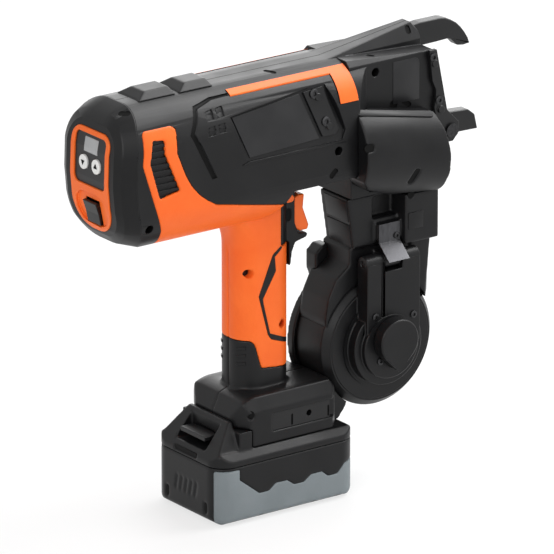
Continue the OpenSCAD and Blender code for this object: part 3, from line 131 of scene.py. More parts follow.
def grain_noise(nodes, links, scale, detail, stretch=(1, 1, 1)):
    """Noise on Object coordinates; scale is in grains per metre."""
    coordinates = nodes.new("ShaderNodeTexCoord")
    mapping = nodes.new("ShaderNodeMapping")
    mapping.inputs["Scale"].default_value = stretch
    noise = nodes.new("ShaderNodeTexNoise")
    noise.inputs["Scale"].default_value = scale
    noise.inputs["Detail"].default_value = detail
    links.new(coordinates.outputs["Object"], mapping.inputs["Vector"])
    links.new(mapping.outputs["Vector"], noise.inputs["Vector"])
    return noise


def spread_values(nodes, links, source, low, high):
    """Maps a noise's middle range to low and high."""
    ramp = nodes.new("ShaderNodeMapRange")
    ramp.inputs["From Min"].default_value = NOISE_LOW
    ramp.inputs["From Max"].default_value = NOISE_HIGH
    ramp.inputs["To Min"].default_value = low
    ramp.inputs["To Max"].default_value = high
    links.new(source, ramp.inputs["Value"])
    return ramp.outputs["Result"]


def mix_colours(nodes, links, factor, first, second):
    """A colour between two, by a factor socket."""
    mix = nodes.new("ShaderNodeMix")
    mix.data_type = "RGBA"
    mix.inputs["A"].default_value = (*first, 1.0)
    mix.inputs["B"].default_value = (*second, 1.0)
    links.new(factor, mix.inputs["Factor"])
    return mix.outputs["Result"]


def add_grain(nodes, links, shader, height, depth):
    """Lets a height socket stand out of the surface by a depth in metres."""
    bump = nodes.new("ShaderNodeBump")
    bump.inputs["Distance"].default_value = depth
    bump.inputs["Strength"].default_value = GRAIN_STRENGTH
    links.new(height, bump.inputs["Height"])
    links.new(bump.outputs["Normal"], shader.inputs["Normal"])


def add_patches(nodes, links, shader, noise, colours, roughness, spread):
    """Lets a noise vary the colour between two, and the roughness by a spread below and above it."""
    blend = spread_values(nodes, links, noise.outputs["Fac"], 0.0, 1.0)
    links.new(mix_colours(nodes, links, blend, *colours), shader.inputs["Base Color"])
    below, above = spread
    rough = spread_values(nodes, links, noise.outputs["Fac"], roughness - below, roughness + above)
    links.new(rough, shader.inputs["Roughness"])


# %% [markdown]
# ## Plastics
# Etched moulding is a noise bump. The grip is rougher: its mould has a leather-like pebble, which a Voronoi
# pattern gives, because its cells are rounded bumps with valleys between them.

# %% Moulded plastics, rubber and plates
PATCHES_PER_METRE, PATCH_DETAIL, PATCH_SPREAD = 45.0, 5.0, (0.05, 0.06)
FINE_DETAIL = 2.0
PALMS_PER_METRE, PALM_DETAIL, PALM_SPREAD = 40.0, 4.0, (0.04, 0.06)
GRIP_SHINE = 0.25


def moulded(name, colour, dusty, roughness, grain_size, grain_depth, shine=0.5):
    """Etched moulding: a fine grain, and broad patches where handling has dulled the colour a little."""
    material, nodes, links, shader = finish_base(name, colour, roughness, shine=shine)
    patches = grain_noise(nodes, links, PATCHES_PER_METRE, PATCH_DETAIL)
    add_patches(nodes, links, shader, patches, (colour, dusty), roughness, PATCH_SPREAD)
    fine = grain_noise(nodes, links, 1.0 / grain_size, FINE_DETAIL)
    add_grain(nodes, links, shader, fine.outputs["Fac"], grain_depth)
    return material


def pebbled(name, colour, dusty, roughness, pebble, depth):
    """Grip moulding: rounded pebbles, a little paler where palms polish them."""
    material, nodes, links, shader = finish_base(name, colour, roughness, shine=GRIP_SHINE)
    coordinates = nodes.new("ShaderNodeTexCoord")
    cells = nodes.new("ShaderNodeTexVoronoi")
    cells.feature = "SMOOTH_F1"
    cells.inputs["Scale"].default_value = 1.0 / pebble
    links.new(coordinates.outputs["Object"], cells.inputs["Vector"])
    patches = grain_noise(nodes, links, PALMS_PER_METRE, PALM_DETAIL)
    add_patches(nodes, links, shader, patches, (colour, dusty), roughness, PALM_SPREAD)
    add_grain(nodes, links, shader, cells.outputs["Distance"], depth)
    return material


# Each has a colour, a dusty colour, a roughness, the grain's size and depth, and its shine
black_moulding = moulded("black_moulding", (0.0045, 0.0045, 0.005), (0.007, 0.007, 0.0075),
                         0.38, 0.9 * MM, 0.04 * MM, 0.22)
smooth_black = moulded("smooth_black", (0.004, 0.004, 0.0045), (0.006, 0.006, 0.0065),
                       0.32, 0.6 * MM, 0.02 * MM, 0.3)
# Near-black used as painted shade in the wells, the label's groove and the strips' rims, and as print on the
# arrows
shade_and_print_black = moulded("shade_and_print_black", (0.002, 0.002, 0.002), (0.003, 0.003, 0.003),
                     0.60, 0.6 * MM, 0.02 * MM, 0.1)
orange_moulding = moulded("orange_moulding", (0.86, 0.130, 0.012), (0.90, 0.160, 0.020),
                          0.44, 0.8 * MM, 0.04 * MM, 0.3)
orange_grip = pebbled("orange_grip", (0.84, 0.122, 0.010), (0.88, 0.150, 0.018),
                      0.46, 1.1 * MM, 0.16 * MM)
grey_rubber = moulded("grey_rubber", (0.160, 0.185, 0.196), (0.190, 0.216, 0.228),
                      0.55, 1.0 * MM, 0.06 * MM, 0.3)
dark_plate = moulded("dark_plate", (0.009, 0.009, 0.010), (0.014, 0.014, 0.015),
                     0.34, 0.5 * MM, 0.01 * MM, 0.3)
white_cap = moulded("white_cap", (0.74, 0.74, 0.72), (0.80, 0.80, 0.78), 0.35, 0.5 * MM, 0.01 * MM)
board_green = moulded("board_green", (0.02, 0.11, 0.045), (0.03, 0.15, 0.06), 0.4, 0.5 * MM, 0.02 * MM)
cell_wrap = moulded("cell_wrap", (0.05, 0.12, 0.30), (0.06, 0.15, 0.36), 0.3, 0.8 * MM, 0.01 * MM)
display_glass = moulded("display_glass", (0.30, 0.305, 0.31), (0.38, 0.385, 0.39),
                        0.18, 2.0 * MM, 0.004 * MM)
print("mouldings made:", len(finishes))

# %% [markdown]
# ## Metals
# Rolled sheet and turned shafts carry fine streaks along the way they were worked. A noise that is
# stretched along one axis makes them. Blackened steel has no streaks: its dull skin is made like a moulding.

# %% Metals
STREAK_DETAIL, STREAK_SPREAD = 4.0, (0.07, 0.08)
STREAK_DEPTH = 0.03 * MM


def metal(name, colour, worn, roughness, stretch, scale):
    """Metal with brushed or rolled streaks along one direction."""
    material, nodes, links, shader = finish_base(name, colour, roughness, 1.0)
    streaks = grain_noise(nodes, links, scale, STREAK_DETAIL, stretch)
    add_patches(nodes, links, shader, streaks, (colour, worn), roughness, STREAK_SPREAD)
    add_grain(nodes, links, shader, streaks.outputs["Fac"], STREAK_DEPTH)
    return material


machined_steel = metal("machined_steel", (0.50, 0.50, 0.51), (0.60, 0.60, 0.61), 0.30, (0.15, 1, 1), 900.0)
spring_steel = metal("spring_steel", (0.050, 0.050, 0.053), (0.085, 0.085, 0.09), 0.42, (1, 1, 0.2), 700.0)
screw_steel = metal("screw_steel", (0.030, 0.030, 0.031), (0.055, 0.055, 0.057), 0.38, (1, 1, 1), 800.0)
brass = metal("brass", (0.62, 0.42, 0.16), (0.70, 0.50, 0.22), 0.28, (0.3, 1, 1), 600.0)
blackened_steel = moulded("blackened_steel", (0.005, 0.005, 0.0055), (0.009, 0.009, 0.0095),
                          0.38, 0.5 * MM, 0.02 * MM, 0.3)
tie_wire = metal("tie_wire", (0.30, 0.30, 0.31), (0.42, 0.42, 0.43), 0.36, (1, 12, 1), 300.0)
print("finishes so far:", len(finishes))

# %% [markdown]
# ## Placing work on a surface
# Screws, plates and wells are shaped flat at the origin, where Z points out of the surface. One matrix then
# turns and moves the finished mesh to its place on the tool, so the object itself stays at the origin.

# %% Placing helpers
body_of_node = {node: body for body, nodes in frame["record"]["behaviour"]["bodies"].items()
                for node in nodes}
SMOOTH_ANGLE = math.radians(35.0)


def facing(at, outward, along=(1, 0, 0)):
    """Puts flat work on a surface: its Z points outwards, its X runs along; at is in millimetres."""
    z_axis = Vector(outward).normalized()
    x_axis = (Vector(along) - z_axis * Vector(along).dot(z_axis)).normalized()
    place = Matrix((x_axis, z_axis.cross(x_axis), z_axis)).transposed().to_4x4()
    place.translation = Vector(at) * MM
    return place


def add_piece(name, shape, material, node):
    """Makes an object from a bmesh; it rides with a node's body."""
    mesh = bpy.data.meshes.new(name)
    bmesh.ops.recalc_face_normals(shape, faces=shape.faces)
    shape.to_mesh(mesh)
    shape.free()
    mesh.materials.append(material)
    mesh.shade_smooth()
    mesh.set_sharp_from_angle(angle=SMOOTH_ANGLE)
    piece = bpy.data.objects.new(name, mesh)
    bpy.context.scene.collection.objects.link(piece)
    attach(piece, body_of_node[node])


def turned_up(shape, face):
    """Makes a flat face point along Z."""
    face.normal_update()
    if face.normal.z < 0:
        bmesh.ops.reverse_faces(shape, faces=[face])


def raised_face(shape, face, height):
    """Extrudes one face along its normal and returns the vertices of the new block, lower and upper."""
    base = list(face.verts)
    normal = face.normal.copy()
    grown = bmesh.ops.extrude_face_region(shape, geom=[face])
    top = [item for item in grown["geom"] if isinstance(item, bmesh.types.BMVert)]
    bmesh.ops.translate(shape, verts=top, vec=normal * height)
    return base, top


print("nodes:", len(body_of_node), "on bodies:", len(set(body_of_node.values())))

# %% [markdown]
# ## Wells and slots
# The covers are held by screws that sit deep in round or slanted wells. A well is carved with a Boolean: a
# stretched circle is extruded to a cutter, and its shape is taken out of a merged copy of the solid. The
# cutter object is deleted again once the carved mesh is made.

# %% Places of the wells
WELLS = {
    # node: (place, outward, along, length, width, depth), in mm
    "rear_cap": [((-119.4, -17.9, 299.6), (-0.42, -0.23, 0.88), (0.8, -0.7, -0.3), 8.5, 4.6, 2.0)],
    "body_shell_right": [
        ((4.4, -10.0, 302.9), (0, -0.05, 1), (0.45, -0.9, 0), 9.5, 4.2, 2.0),
        ((36.7, -38.0, 232.7), (0, -1, 0), (0.75, 0, 0.66), 8.0, 4.6, 2.2),
        ((121.0, -7.0, 309.8), (0, -0.86, 0.51), (0, 0.5, 0.86), 6.5, 4.2, 1.8),
        ((81.3, -18.0, 301.7), (0.06, 0, 1), (0.6, -0.8, 0), 6.5, 4.0, 1.8),
        ((95.0, -26.0, 266.6), (0, -1, 0), (1, 0, 0), 6.6, 6.5, 2.4),
        ((105.6, -26.0, 266.2), (0, -1, 0), (0.8, 0, -0.6), 10.0, 4.0, 2.0)],
    "feeder_cover": [
        ((97.2, -46.6, 221.0), (-0.05, -0.92, -0.38), (0.35, -0.3, 0.9), 13.0, 5.0, 2.2),
        ((58.6, -49.0, 249.0), (0, -1, 0.15), (1, 0, 0), 8.0, 5.6, 2.4)],
    "reel_neck": [((105.5, -33.0, 203.0), (0, -1, 0), (0.7, 0, 0.7), 6.4, 5.4, 2.0)],
    "foot_shell_right": [((-27.4, -32.4, 73.6), (-0.6, -0.8, 0), (0, 0, 1), 5.0, 4.8, 2.0)],
    "trigger_bracket": [((19.9, y, 199.5), (0, y, 0), (0, 0, 1), 9.0, 4.2, 1.6) for y in (-10.5, 10.5)],
    "hook_plates": [((x, y, 63.2), (0, y, 0), (0, 0, 1), 8.0, 1.6, 1.0)
                    for x in (6.8, 37.0) for y in (-32.0, 32.0)],
    "battery_lid": [((-58.0, 1.0, 44.4), (-1, 0, 0), (0, 1, 0), 26.0, 3.6, 2.2)],
    "battery_tub": [((-58.0, y, 10.7), (-1, 0, 0), (0, 0, 1), 9.0, 4.0, 1.6) for y in (-22.0, 22.0)],
}
print("wells:", sum(len(wells) for wells in WELLS.values()))

# %% Cutters
SLOT_SIDES = 18


def slot_block(shape, at, outward, along, length, width, bottom, top):
    """Adds a slot-shaped block: a circle pulled apart and extruded from one height to another, in mm."""
    ring = bmesh.ops.create_circle(shape, cap_ends=True, segments=SLOT_SIDES, radius=width * MM / 2)["verts"]
    pull = (length - width) * MM / 2
    bmesh.ops.translate(shape, verts=[v for v in ring if v.co.x > 0], vec=(pull, 0, 0))
    bmesh.ops.translate(shape, verts=[v for v in ring if v.co.x < 0], vec=(-pull, 0, 0))
    bmesh.ops.translate(shape, verts=ring, vec=(0, 0, bottom * MM))
    face = ring[0].link_faces[0]
    turned_up(shape, face)
    base, upper = raised_face(shape, face, (top - bottom) * MM)
    bmesh.ops.transform(shape, matrix=facing(at, outward, along), verts=base + upper)


def finished_mesh(helper):
    """The mesh of an object with its modifiers applied."""
    return bpy.data.meshes.new_from_object(helper.evaluated_get(bpy.context.evaluated_depsgraph_get()))


def carved(mesh, cutters):
    """The mesh with the cutters taken out; the helper objects are deleted."""
    cutter_mesh = bpy.data.meshes.new("cutters")
    bmesh.ops.recalc_face_normals(cutters, faces=cutters.faces)
    cutters.to_mesh(cutter_mesh)
    cutters.free()
    helpers = [bpy.data.objects.new("whole", mesh), bpy.data.objects.new("cutters", cutter_mesh)]
    for helper in helpers:
        bpy.context.scene.collection.objects.link(helper)
    carve = helpers[0].modifiers.new("carve", "BOOLEAN")
    carve.operation = "DIFFERENCE"
    carve.solver = "EXACT"
    carve.object = helpers[1]
    result = finished_mesh(helpers[0])
    for helper in helpers:
        bpy.data.objects.remove(helper)
    return result


# %% [markdown]
# ## Softened mouldings
# A moulded edge is never razor sharp: the mould is cut with a round tool. A copy of each solid is merged,
# its flat faces are joined, and a Bevel modifier rounds its edges. Edges that are too short, or that border
# a strip too narrow for the radius, stay sharp, because a bevel there would fold over itself. The soft, bulky
# covers get rounder edges another way: a Remesh modifier gives them an even skin, and a Smooth modifier wears
# the edges off it.

# %% Copies of a solid
MERGE_GAP = 0.002 * MM
CUTTER_OVERRUN = 3.0


def merged_copy(node):
    """A copy of a solid's mesh with its doubled vertices merged and its wells carved."""
    mesh = frame["nodes"][node].data.copy()
    shape = bmesh.new()
    shape.from_mesh(mesh)
    bmesh.ops.remove_doubles(shape, verts=shape.verts, dist=MERGE_GAP)
    shape.to_mesh(mesh)
    shape.free()
    if node not in WELLS:
        return mesh
    cutters = bmesh.new()
    for *slot, depth in WELLS[node]:
        slot_block(cutters, *slot, -depth, CUTTER_OVERRUN)
    return carved(mesh, cutters)


def stand_in(node, mesh, material):
    """An object that takes a solid's place: it replaces the solid and rides on its body."""
    mesh.materials.clear()
    mesh.materials.append(material)
    mesh.shade_smooth()
    piece = bpy.data.objects.new(node + "_soft", mesh)
    bpy.context.scene.collection.objects.link(piece)
    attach(piece, body_of_node[node])
    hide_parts(node)
    return piece


# %% Bevelled copies
SHARP_ANGLE = math.radians(28.0)
FLAT_ANGLE = math.radians(0.6)
CHAIN_ANGLE = math.radians(32.0)
BEVEL_SEGMENTS = 2
# Least edge length, least length in a chain of edges and least face width, in bevel radii
LONG_EDGE, CHAIN_EDGE, WIDE_FACE = 2.5, 0.4, 2.2
WELL_MARGIN = 1.5


def face_height(face, edge):
    """How far a face reaches away from one of its edges."""
    start = edge.verts[0].co
    line = (edge.verts[1].co - start).normalized()
    return max(((v.co - start) - line * (v.co - start).dot(line)).length for v in face.verts)


def runs_on(edge, vert, sharp):
    """True where another sharp edge carries the line on at this end."""
    way = (vert.co - edge.other_vert(vert).co).normalized()
    for other in vert.link_edges:
        if other is not edge and other in sharp:
            if way.angle((other.other_vert(vert).co - vert.co).normalized(), 0.0) < CHAIN_ANGLE:
                return True
    return False


def can_be_rounded(edge, sharp, radius, wells):
    """True where a bevel has room: on a long edge, or one in a chain, between wide faces, outside wells."""
    length = edge.calc_length()
    in_chain = length > CHAIN_EDGE * radius and all(runs_on(edge, v, sharp) for v in edge.verts)
    wide_enough = min(face_height(face, edge) for face in edge.link_faces) > WIDE_FACE * radius
    middle = (edge.verts[0].co + edge.verts[1].co) / 2
    in_well = any((middle - Vector(well[0]) * MM).length < (well[3] / 2 + WELL_MARGIN) * MM for well in wells)
    return (length > LONG_EDGE * radius or in_chain) and wide_enough and not in_well


def softened(node, material, radius):
    """A merged copy of a solid with its edges rounded by a bevel."""
    mesh = merged_copy(node)
    wells = WELLS.get(node, [])
    shape = bmesh.new()
    shape.from_mesh(mesh)
    bmesh.ops.dissolve_limit(shape, angle_limit=FLAT_ANGLE, use_dissolve_boundaries=False,
                             verts=shape.verts, edges=shape.edges, delimit=set())
    weight = shape.edges.layers.float.new("bevel_weight_edge")
    sharp = {edge for edge in shape.edges
             if len(edge.link_faces) == 2 and edge.calc_face_angle(0.0) > SHARP_ANGLE}
    rounded = [edge for edge in sharp if can_be_rounded(edge, sharp, radius, wells)]
    for edge in rounded:
        edge[weight] = 1.0
    print(f"{node}: {len(rounded)} edges rounded, {len(wells)} wells")
    shape.to_mesh(mesh)
    shape.free()
    piece = stand_in(node, mesh, material)
    mesh.set_sharp_from_angle(angle=SHARP_ANGLE)
    bevel = piece.modifiers.new("soft_edges", "BEVEL")
    bevel.width = radius
    bevel.segments = BEVEL_SEGMENTS
    bevel.limit_method = "WEIGHT"
    bevel.use_clamp_overlap = False
    bevel.harden_normals = False
    bevel.miter_outer = "MITER_ARC"
    normals = piece.modifiers.new("even_shine", "WEIGHTED_NORMAL")
    normals.keep_sharp = True
    return piece


# %% Smoothed copies
SMOOTH_FACTOR = 0.5


def rounded_off(node, material, cell, passes, drawn_in=None):
    """A merged copy with an even skin of small square faces, smoothed until its edges are round.

    drawn_in may move each point of the finished skin; it takes and returns a place in millimetres."""
    helper = bpy.data.objects.new("whole", merged_copy(node))
    bpy.context.scene.collection.objects.link(helper)
    skin = helper.modifiers.new("even_skin", "REMESH")
    skin.mode = "VOXEL"
    skin.voxel_size = cell
    smooth = helper.modifiers.new("round_edges", "SMOOTH")
    smooth.factor = SMOOTH_FACTOR
    smooth.iterations = passes
    mesh = finished_mesh(helper)
    bpy.data.objects.remove(helper)
    if drawn_in:
        for vert in mesh.vertices:
            vert.co = drawn_in(vert.co / MM) * MM
    print(f"{node}: skin of {len(mesh.polygons)} faces of {cell / MM:.2f} mm, {passes} smoothing passes")
    return stand_in(node, mesh, material)


# %% [markdown]
# ## Skins that are drawn in
# Three mouldings are softer than smoothing alone makes them: the battery's lower edges are round, the foot's
# top falls off, and the latch's pocket has a little play. On an even skin each point can simply be moved, by
# an amount that fades in from one place to another.

# %% Points of a skin moved
# Each pair of places is where a move starts to show and where it is full, in mm
PACK_HALF = (58.0, 38.0)
PACK_ROUND = 6.0
PACK_BLEND = 9.0
POCKET_SIDES, POCKET_FRONT, POCKET_REAR = (18.0, 15.5), (-22.0, -25.5), (-57.0, -54.5)
POCKET_LOW, POCKET_WALLS, POCKET_FLOOR = (45.0, 47.5), (10.0, 13.0), (53.5, 51.5)
POCKET_MIDDLE = -40.5
POCKET_WIDER, POCKET_LONGER, POCKET_DEEPER = 0.6, 0.04, 0.8
FOOT_SHOULDER, FOOT_COLLAR = (66.0, 86.0), (97.0, 91.0)
FOOT_REAR, FOOT_SIDES = (-18.0, -36.0), (23.0, 33.0)
FOOT_FALL_REAR, FOOT_FALL_SIDES = 7.0, 3.0


def faded(value, start, stop):
    """How far a value has come from start to stop, held between 0 and 1."""
    return min(max((value - start) / (stop - start), 0.0), 1.0)


def pack_bottom(at):
    """Draws the battery's lower edges in, along a quarter circle."""
    depth = faded(at.z, PACK_ROUND, 0.0)
    inset = PACK_ROUND * (1.0 - math.sqrt(1.0 - depth * depth))
    for axis, half in enumerate(PACK_HALF):
        near_wall = faded(abs(at[axis]), half - PACK_BLEND, half)
        at[axis] -= math.copysign(inset * near_wall, at[axis])
    return at


def latch_pocket(at):
    """Gives the battery's latch a little more room in its pocket, to every side and below."""
    inside = faded(abs(at.y), *POCKET_SIDES) * faded(at.x, *POCKET_FRONT) * faded(at.x, *POCKET_REAR)
    inside *= faded(at.z, *POCKET_LOW)
    at.y += math.copysign(POCKET_WIDER * inside * faded(abs(at.y), *POCKET_WALLS), at.y)
    at.x += POCKET_LONGER * inside * (at.x - POCKET_MIDDLE)
    at.z -= POCKET_DEEPER * inside * faded(at.z, *POCKET_FLOOR)
    return at


def foot_top(at):
    """Lets the foot's top fall off towards its rear and its sides."""
    lifted = faded(at.z, *FOOT_SHOULDER) * faded(at.z, *FOOT_COLLAR)
    to_rear = faded(at.x, *FOOT_REAR)
    to_side = faded(abs(at.y), *FOOT_SIDES)
    at.z -= lifted * (FOOT_FALL_REAR * to_rear ** 2 + FOOT_FALL_SIDES * to_side ** 2)
    return at


# %% Bevel the crisp mouldings and plates
SOFT = {
    # material: {node: bevel radius in mm}
    black_moulding: {"body_shell_right": 0.5, "body_shell_left": 0.5, "rear_cap": 0.6, "feeder_frame": 0.6,
                     "drum_shell": 0.6, "reel_door": 0.7, "lock_knob": 1.0, "grip_band": 0.2,
                     "vent_louvres": 0.2},
    smooth_black: {"power_rocker": 0.4, "battery_latch": 0.6, "screw_plates": 0.3},
    orange_moulding: {"panel_bezel": 0.5, "accent_strips": 0.4, "trigger": 1.0, "trigger_lock": 0.5},
    dark_plate: {"panel_plate": 0.2, "label_plates": 0.2},
    white_cap: {"button_down": 0.3, "button_up": 0.3},
    blackened_steel: {"nose_plates": 0.4, "upper_jaw": 0.8, "lower_jaw": 0.8, "hook_plates": 0.3},
    spring_steel: {"door_spring_clip": 0.2},
    display_glass: {"display_window": 0.2},
}
soft_pieces = {}
for material, radii in SOFT.items():
    for node, radius in radii.items():
        soft_pieces[node] = softened(node, material, radius * MM)
print("bevelled pieces:", len(soft_pieces))

# %% Smooth the bulky mouldings
ROUNDED = {
    # node: (material, cell in mm, smoothing passes, what draws the skin in)
    "foot_shell_right": (black_moulding, 0.8, 10, foot_top),
    "foot_shell_left": (black_moulding, 0.8, 10, foot_top),
    "battery_tub": (black_moulding, 0.9, 8, pack_bottom),
    "battery_bumper": (grey_rubber, 0.6, 4, pack_bottom),
    "battery_lid": (black_moulding, 0.8, 3, latch_pocket),
    "feeder_cover": (black_moulding, 0.7, 10, None),
    "feeder_back_cover": (black_moulding, 0.9, 8, None),
    "reel_neck": (black_moulding, 0.9, 6, None),
    "drum_back": (black_moulding, 0.8, 6, None),
    "trigger_bracket": (black_moulding, 0.6, 8, None),
    "top_pads": (black_moulding, 0.6, 8, None),
    "handle_shell_right": (orange_grip, 0.9, 4, None),
    "handle_shell_left": (orange_grip, 0.9, 4, None),
}
for node, (material, cell, passes, drawn_in) in ROUNDED.items():
    soft_pieces[node] = rounded_off(node, material, cell * MM, passes, drawn_in)
print("softened pieces in all:", len(soft_pieces))

# %% [markdown]
# ## Painted shade in wells, grooves and rims
# Deep wells swallow light. In shallow carvings that shade is painted: a dark floor a little below each well's
# mouth.
# The groove round the label and the rims of the accent strips get a dark second material slot of painted
# shade, where the real groove and gaps would lie in shadow: faces are chosen by where they lie and which way
# they point.

# %% Well floors of painted shade
FLOOR_DROP = 0.7
FLOOR_CLEAR = 0.1
# Painted shade: a dark block in each well, up to a little below its mouth, stands in for the shadow of a deep
# well
for node, wells in WELLS.items():
    floors = bmesh.new()
    for *slot, depth in wells:
        slot_block(floors, *slot, -depth + FLOOR_CLEAR, -FLOOR_DROP)
    add_piece(node + "_well_shade_floors", floors, shade_and_print_black, node)
print("pieces with well floors:", len(WELLS))


# %% Painted shade on rims and grooves
GROOVE = [(-39.1, 299.5), (-53.0, 299.4), (-70.0, 297.0), (-79.4, 281.0), (-62.6, 248.0), (-58.4, 248.5),
          (-75.4, 281.0), (-68.2, 295.0), (-53.9, 298.0), (-40.4, 298.3)]
GROOVE_FACE, GROOVE_OUT = 400, 15.0
RIM_ENDS, RIM_UNDER, RIM_INSIDE = 0.9, -0.3, -10.0


def paint_shade_on(node, chosen):
    """Gives chosen faces a dark slot of painted shade; chosen takes a face's centre in mm, its normal and its
    area in mm2.
    """
    mesh = soft_pieces[node].data
    mesh.materials.append(shade_and_print_black)
    count = 0
    for face in mesh.polygons:
        if chosen(face.center / MM, face.normal, face.area / MM ** 2):
            face.material_index = 1
            count += 1
    print(f"{node}: {count} dark faces")


def within(outline, x, z):
    """True where a point lies inside a closed outline: it crosses an odd number of sides."""
    crossings = 0
    for (x0, z0), (x1, z1) in zip(outline, outline[1:] + outline[:1]):
        if (z0 > z) != (z1 > z) and x < x0 + (x1 - x0) * (z - z0) / (z1 - z0):
            crossings += 1
    return crossings % 2 == 1


def on_strip_rim_shade(at, normal, area):
    """The ends, the under side and the inner side of an accent strip: painted shade for the gap round the
    strip.
    """
    return abs(normal.x) > RIM_ENDS or normal.z < RIM_UNDER or at.y * normal.y < RIM_INSIDE


def in_label_groove_shade(at, normal, area):
    """The small faces on a side of the housing that lie in the groove's outline: painted shade, darker than
    the shallow groove's own shadow.
    """
    return area < GROOVE_FACE and abs(at.y) > GROOVE_OUT and within(GROOVE, at.x, at.z)


# Painted shade: dark faces on the strips' rims and in the label's groove stand in for the shadow in the gaps
paint_shade_on("accent_strips", on_strip_rim_shade)
paint_shade_on("body_shell_right", in_label_groove_shade)
paint_shade_on("body_shell_left", in_label_groove_shade)

# %% [markdown]
# ## Inner and turned parts
# Gears, shafts, cells and the board keep their solids, because their shapes are already exact. They only
# need a finish.

# %% Finishes of the solids that stay
KEPT = {
    machined_steel: ["spool_spindle", "motor_rotor", "planet_gear_1", "planet_gear_2",
                     "planet_gear_3", "twist_spindle", "feed_drive_roller", "feed_idler_roller", "feed_motor",
                     "motor_stator", "gearbox_case", "gearbox_cover"],
    screw_steel: ["housing_screws", "lower_jaw_pin", "door_hinge_pin"],
    tie_wire: ["wire_coil"],
    brass: ["tool_terminals"],
    board_green: ["control_board"],
    cell_wrap: ["battery_cells"],
    dark_plate: ["wire_spool", "trigger_switch"],
}
for material, kept in KEPT.items():
    for node in kept:
        solid = frame["nodes"][node]
        solid.data.materials.clear()
        solid.data.materials.append(material)
print("solids kept:", sum(len(kept) for kept in KEPT.values()))

# %% [markdown]
# ## Socket screws
# The plates, the door and the leaf clip are held by small socket head screws. A screw head is a disc with
# a six-sided socket: an outer and an inner ring are bridged, then both rings are extruded down.

# %% Screw helper
HEAD_HEIGHT = 1.2
HEAD_SIDES, SOCKET_SIDES = 28, 6
# Shares of the head's radius
HEAD_TOP, SOCKET_WIDE = 0.82, 0.48
# Shares of the head's height
SHOULDER_DROP, FOOT_DROP, SOCKET_DEPTH = 0.25, 1.2, 0.7


def ring_edges(verts):
    """The edges between the vertices of one ring."""
    inside = set(verts)
    return list({edge for v in verts for edge in v.link_edges if set(edge.verts) <= inside})


def pulled_ring(shape, edges, depth, widen=1.0):
    """Extrudes a ring of edges downwards; a widen above 1 spreads it on the way."""
    grown = bmesh.ops.extrude_edge_only(shape, edges=edges)["geom"]
    verts = [item for item in grown if isinstance(item, bmesh.types.BMVert)]
    bmesh.ops.translate(shape, verts=verts, vec=(0, 0, -depth))
    bmesh.ops.scale(shape, verts=verts, vec=(widen, widen, 1))
    return [item for item in grown if isinstance(item, bmesh.types.BMEdge)]


def screw_head(shape, at, outward, radius):
    """One head with a six-sided socket, standing on a surface."""
    radius, height = radius * MM, HEAD_HEIGHT * MM
    rim = bmesh.ops.create_circle(shape, segments=HEAD_SIDES, radius=HEAD_TOP * radius)["verts"]
    socket = bmesh.ops.create_circle(shape, segments=SOCKET_SIDES, radius=SOCKET_WIDE * radius)["verts"]
    bmesh.ops.translate(shape, verts=rim + socket, vec=(0, 0, height))
    rim_edges, socket_edges = ring_edges(rim), ring_edges(socket)
    bmesh.ops.bridge_loops(shape, edges=rim_edges + socket_edges)
    shoulder = pulled_ring(shape, rim_edges, SHOULDER_DROP * height, 1.0 / HEAD_TOP)
    foot = pulled_ring(shape, shoulder, FOOT_DROP * height)
    floor = pulled_ring(shape, socket_edges, SOCKET_DEPTH * height)
    bmesh.ops.holes_fill(shape, edges=floor + foot, sides=HEAD_SIDES)
    island = {v for edge in rim_edges + socket_edges + shoulder + foot + floor for v in edge.verts}
    bmesh.ops.transform(shape, matrix=facing(at, outward), verts=list(island))


# %% Screws on plates, door and clip
LABEL_TILT = (0, -0.98, 0.19)
SCREWS = {
    # node: (place, outward, radius), in mm
    "screw_plates": [((24.4, -32.0, 289.3), LABEL_TILT, 3.3), ((31.6, -35.8, 269.6), LABEL_TILT, 3.3)],
    "nose_plates": [((125.9, -29.0, 295.0), (0, -1, 0), 2.9), ((130.9, -29.0, 263.9), (0, -1, 0), 2.9)],
    "reel_door": [((73.2, -36.0, 123.2), (0, -1, 0), 2.5), ((105.0, -36.0, 118.9), (0, -1, 0), 2.5),
                  ((76.3, -37.5, 91.5), (0, -1, 0), 2.5)],
    "door_spring_clip": [((95.6, -29.2, 175.2), (0, -1, 0), 2.3)],
}
BOTH_SIDES = {"screw_plates", "nose_plates"}
for node, screws in SCREWS.items():
    heads = bmesh.new()
    for at, outward, radius in screws:
        screw_head(heads, at, outward, radius)
        if node in BOTH_SIDES:
            screw_head(heads, (at[0], -at[1], at[2]), (outward[0], -outward[1], outward[2]), radius)
    add_piece(node + "_screws", heads, screw_steel, node)
print("screw heads:", sum(len(s) * (2 if n in BOTH_SIDES else 1) for n, s in SCREWS.items()))

# %% [markdown]
# ## Thin plates and bars
# The nose carries a thin blank plate on each side, a bar runs under each label, the feeder cover has a lip,
# the foot's collar has short ribs and the reel neck has raised panels. Each starts as a flat outline that is
# extruded a fraction of a millimetre and bevelled, so that its rim catches the light.

# %% Plate helpers
PLATE_SUNK = 0.3
PLATE_SEGMENTS = 2
CORNER_STEPS = 5


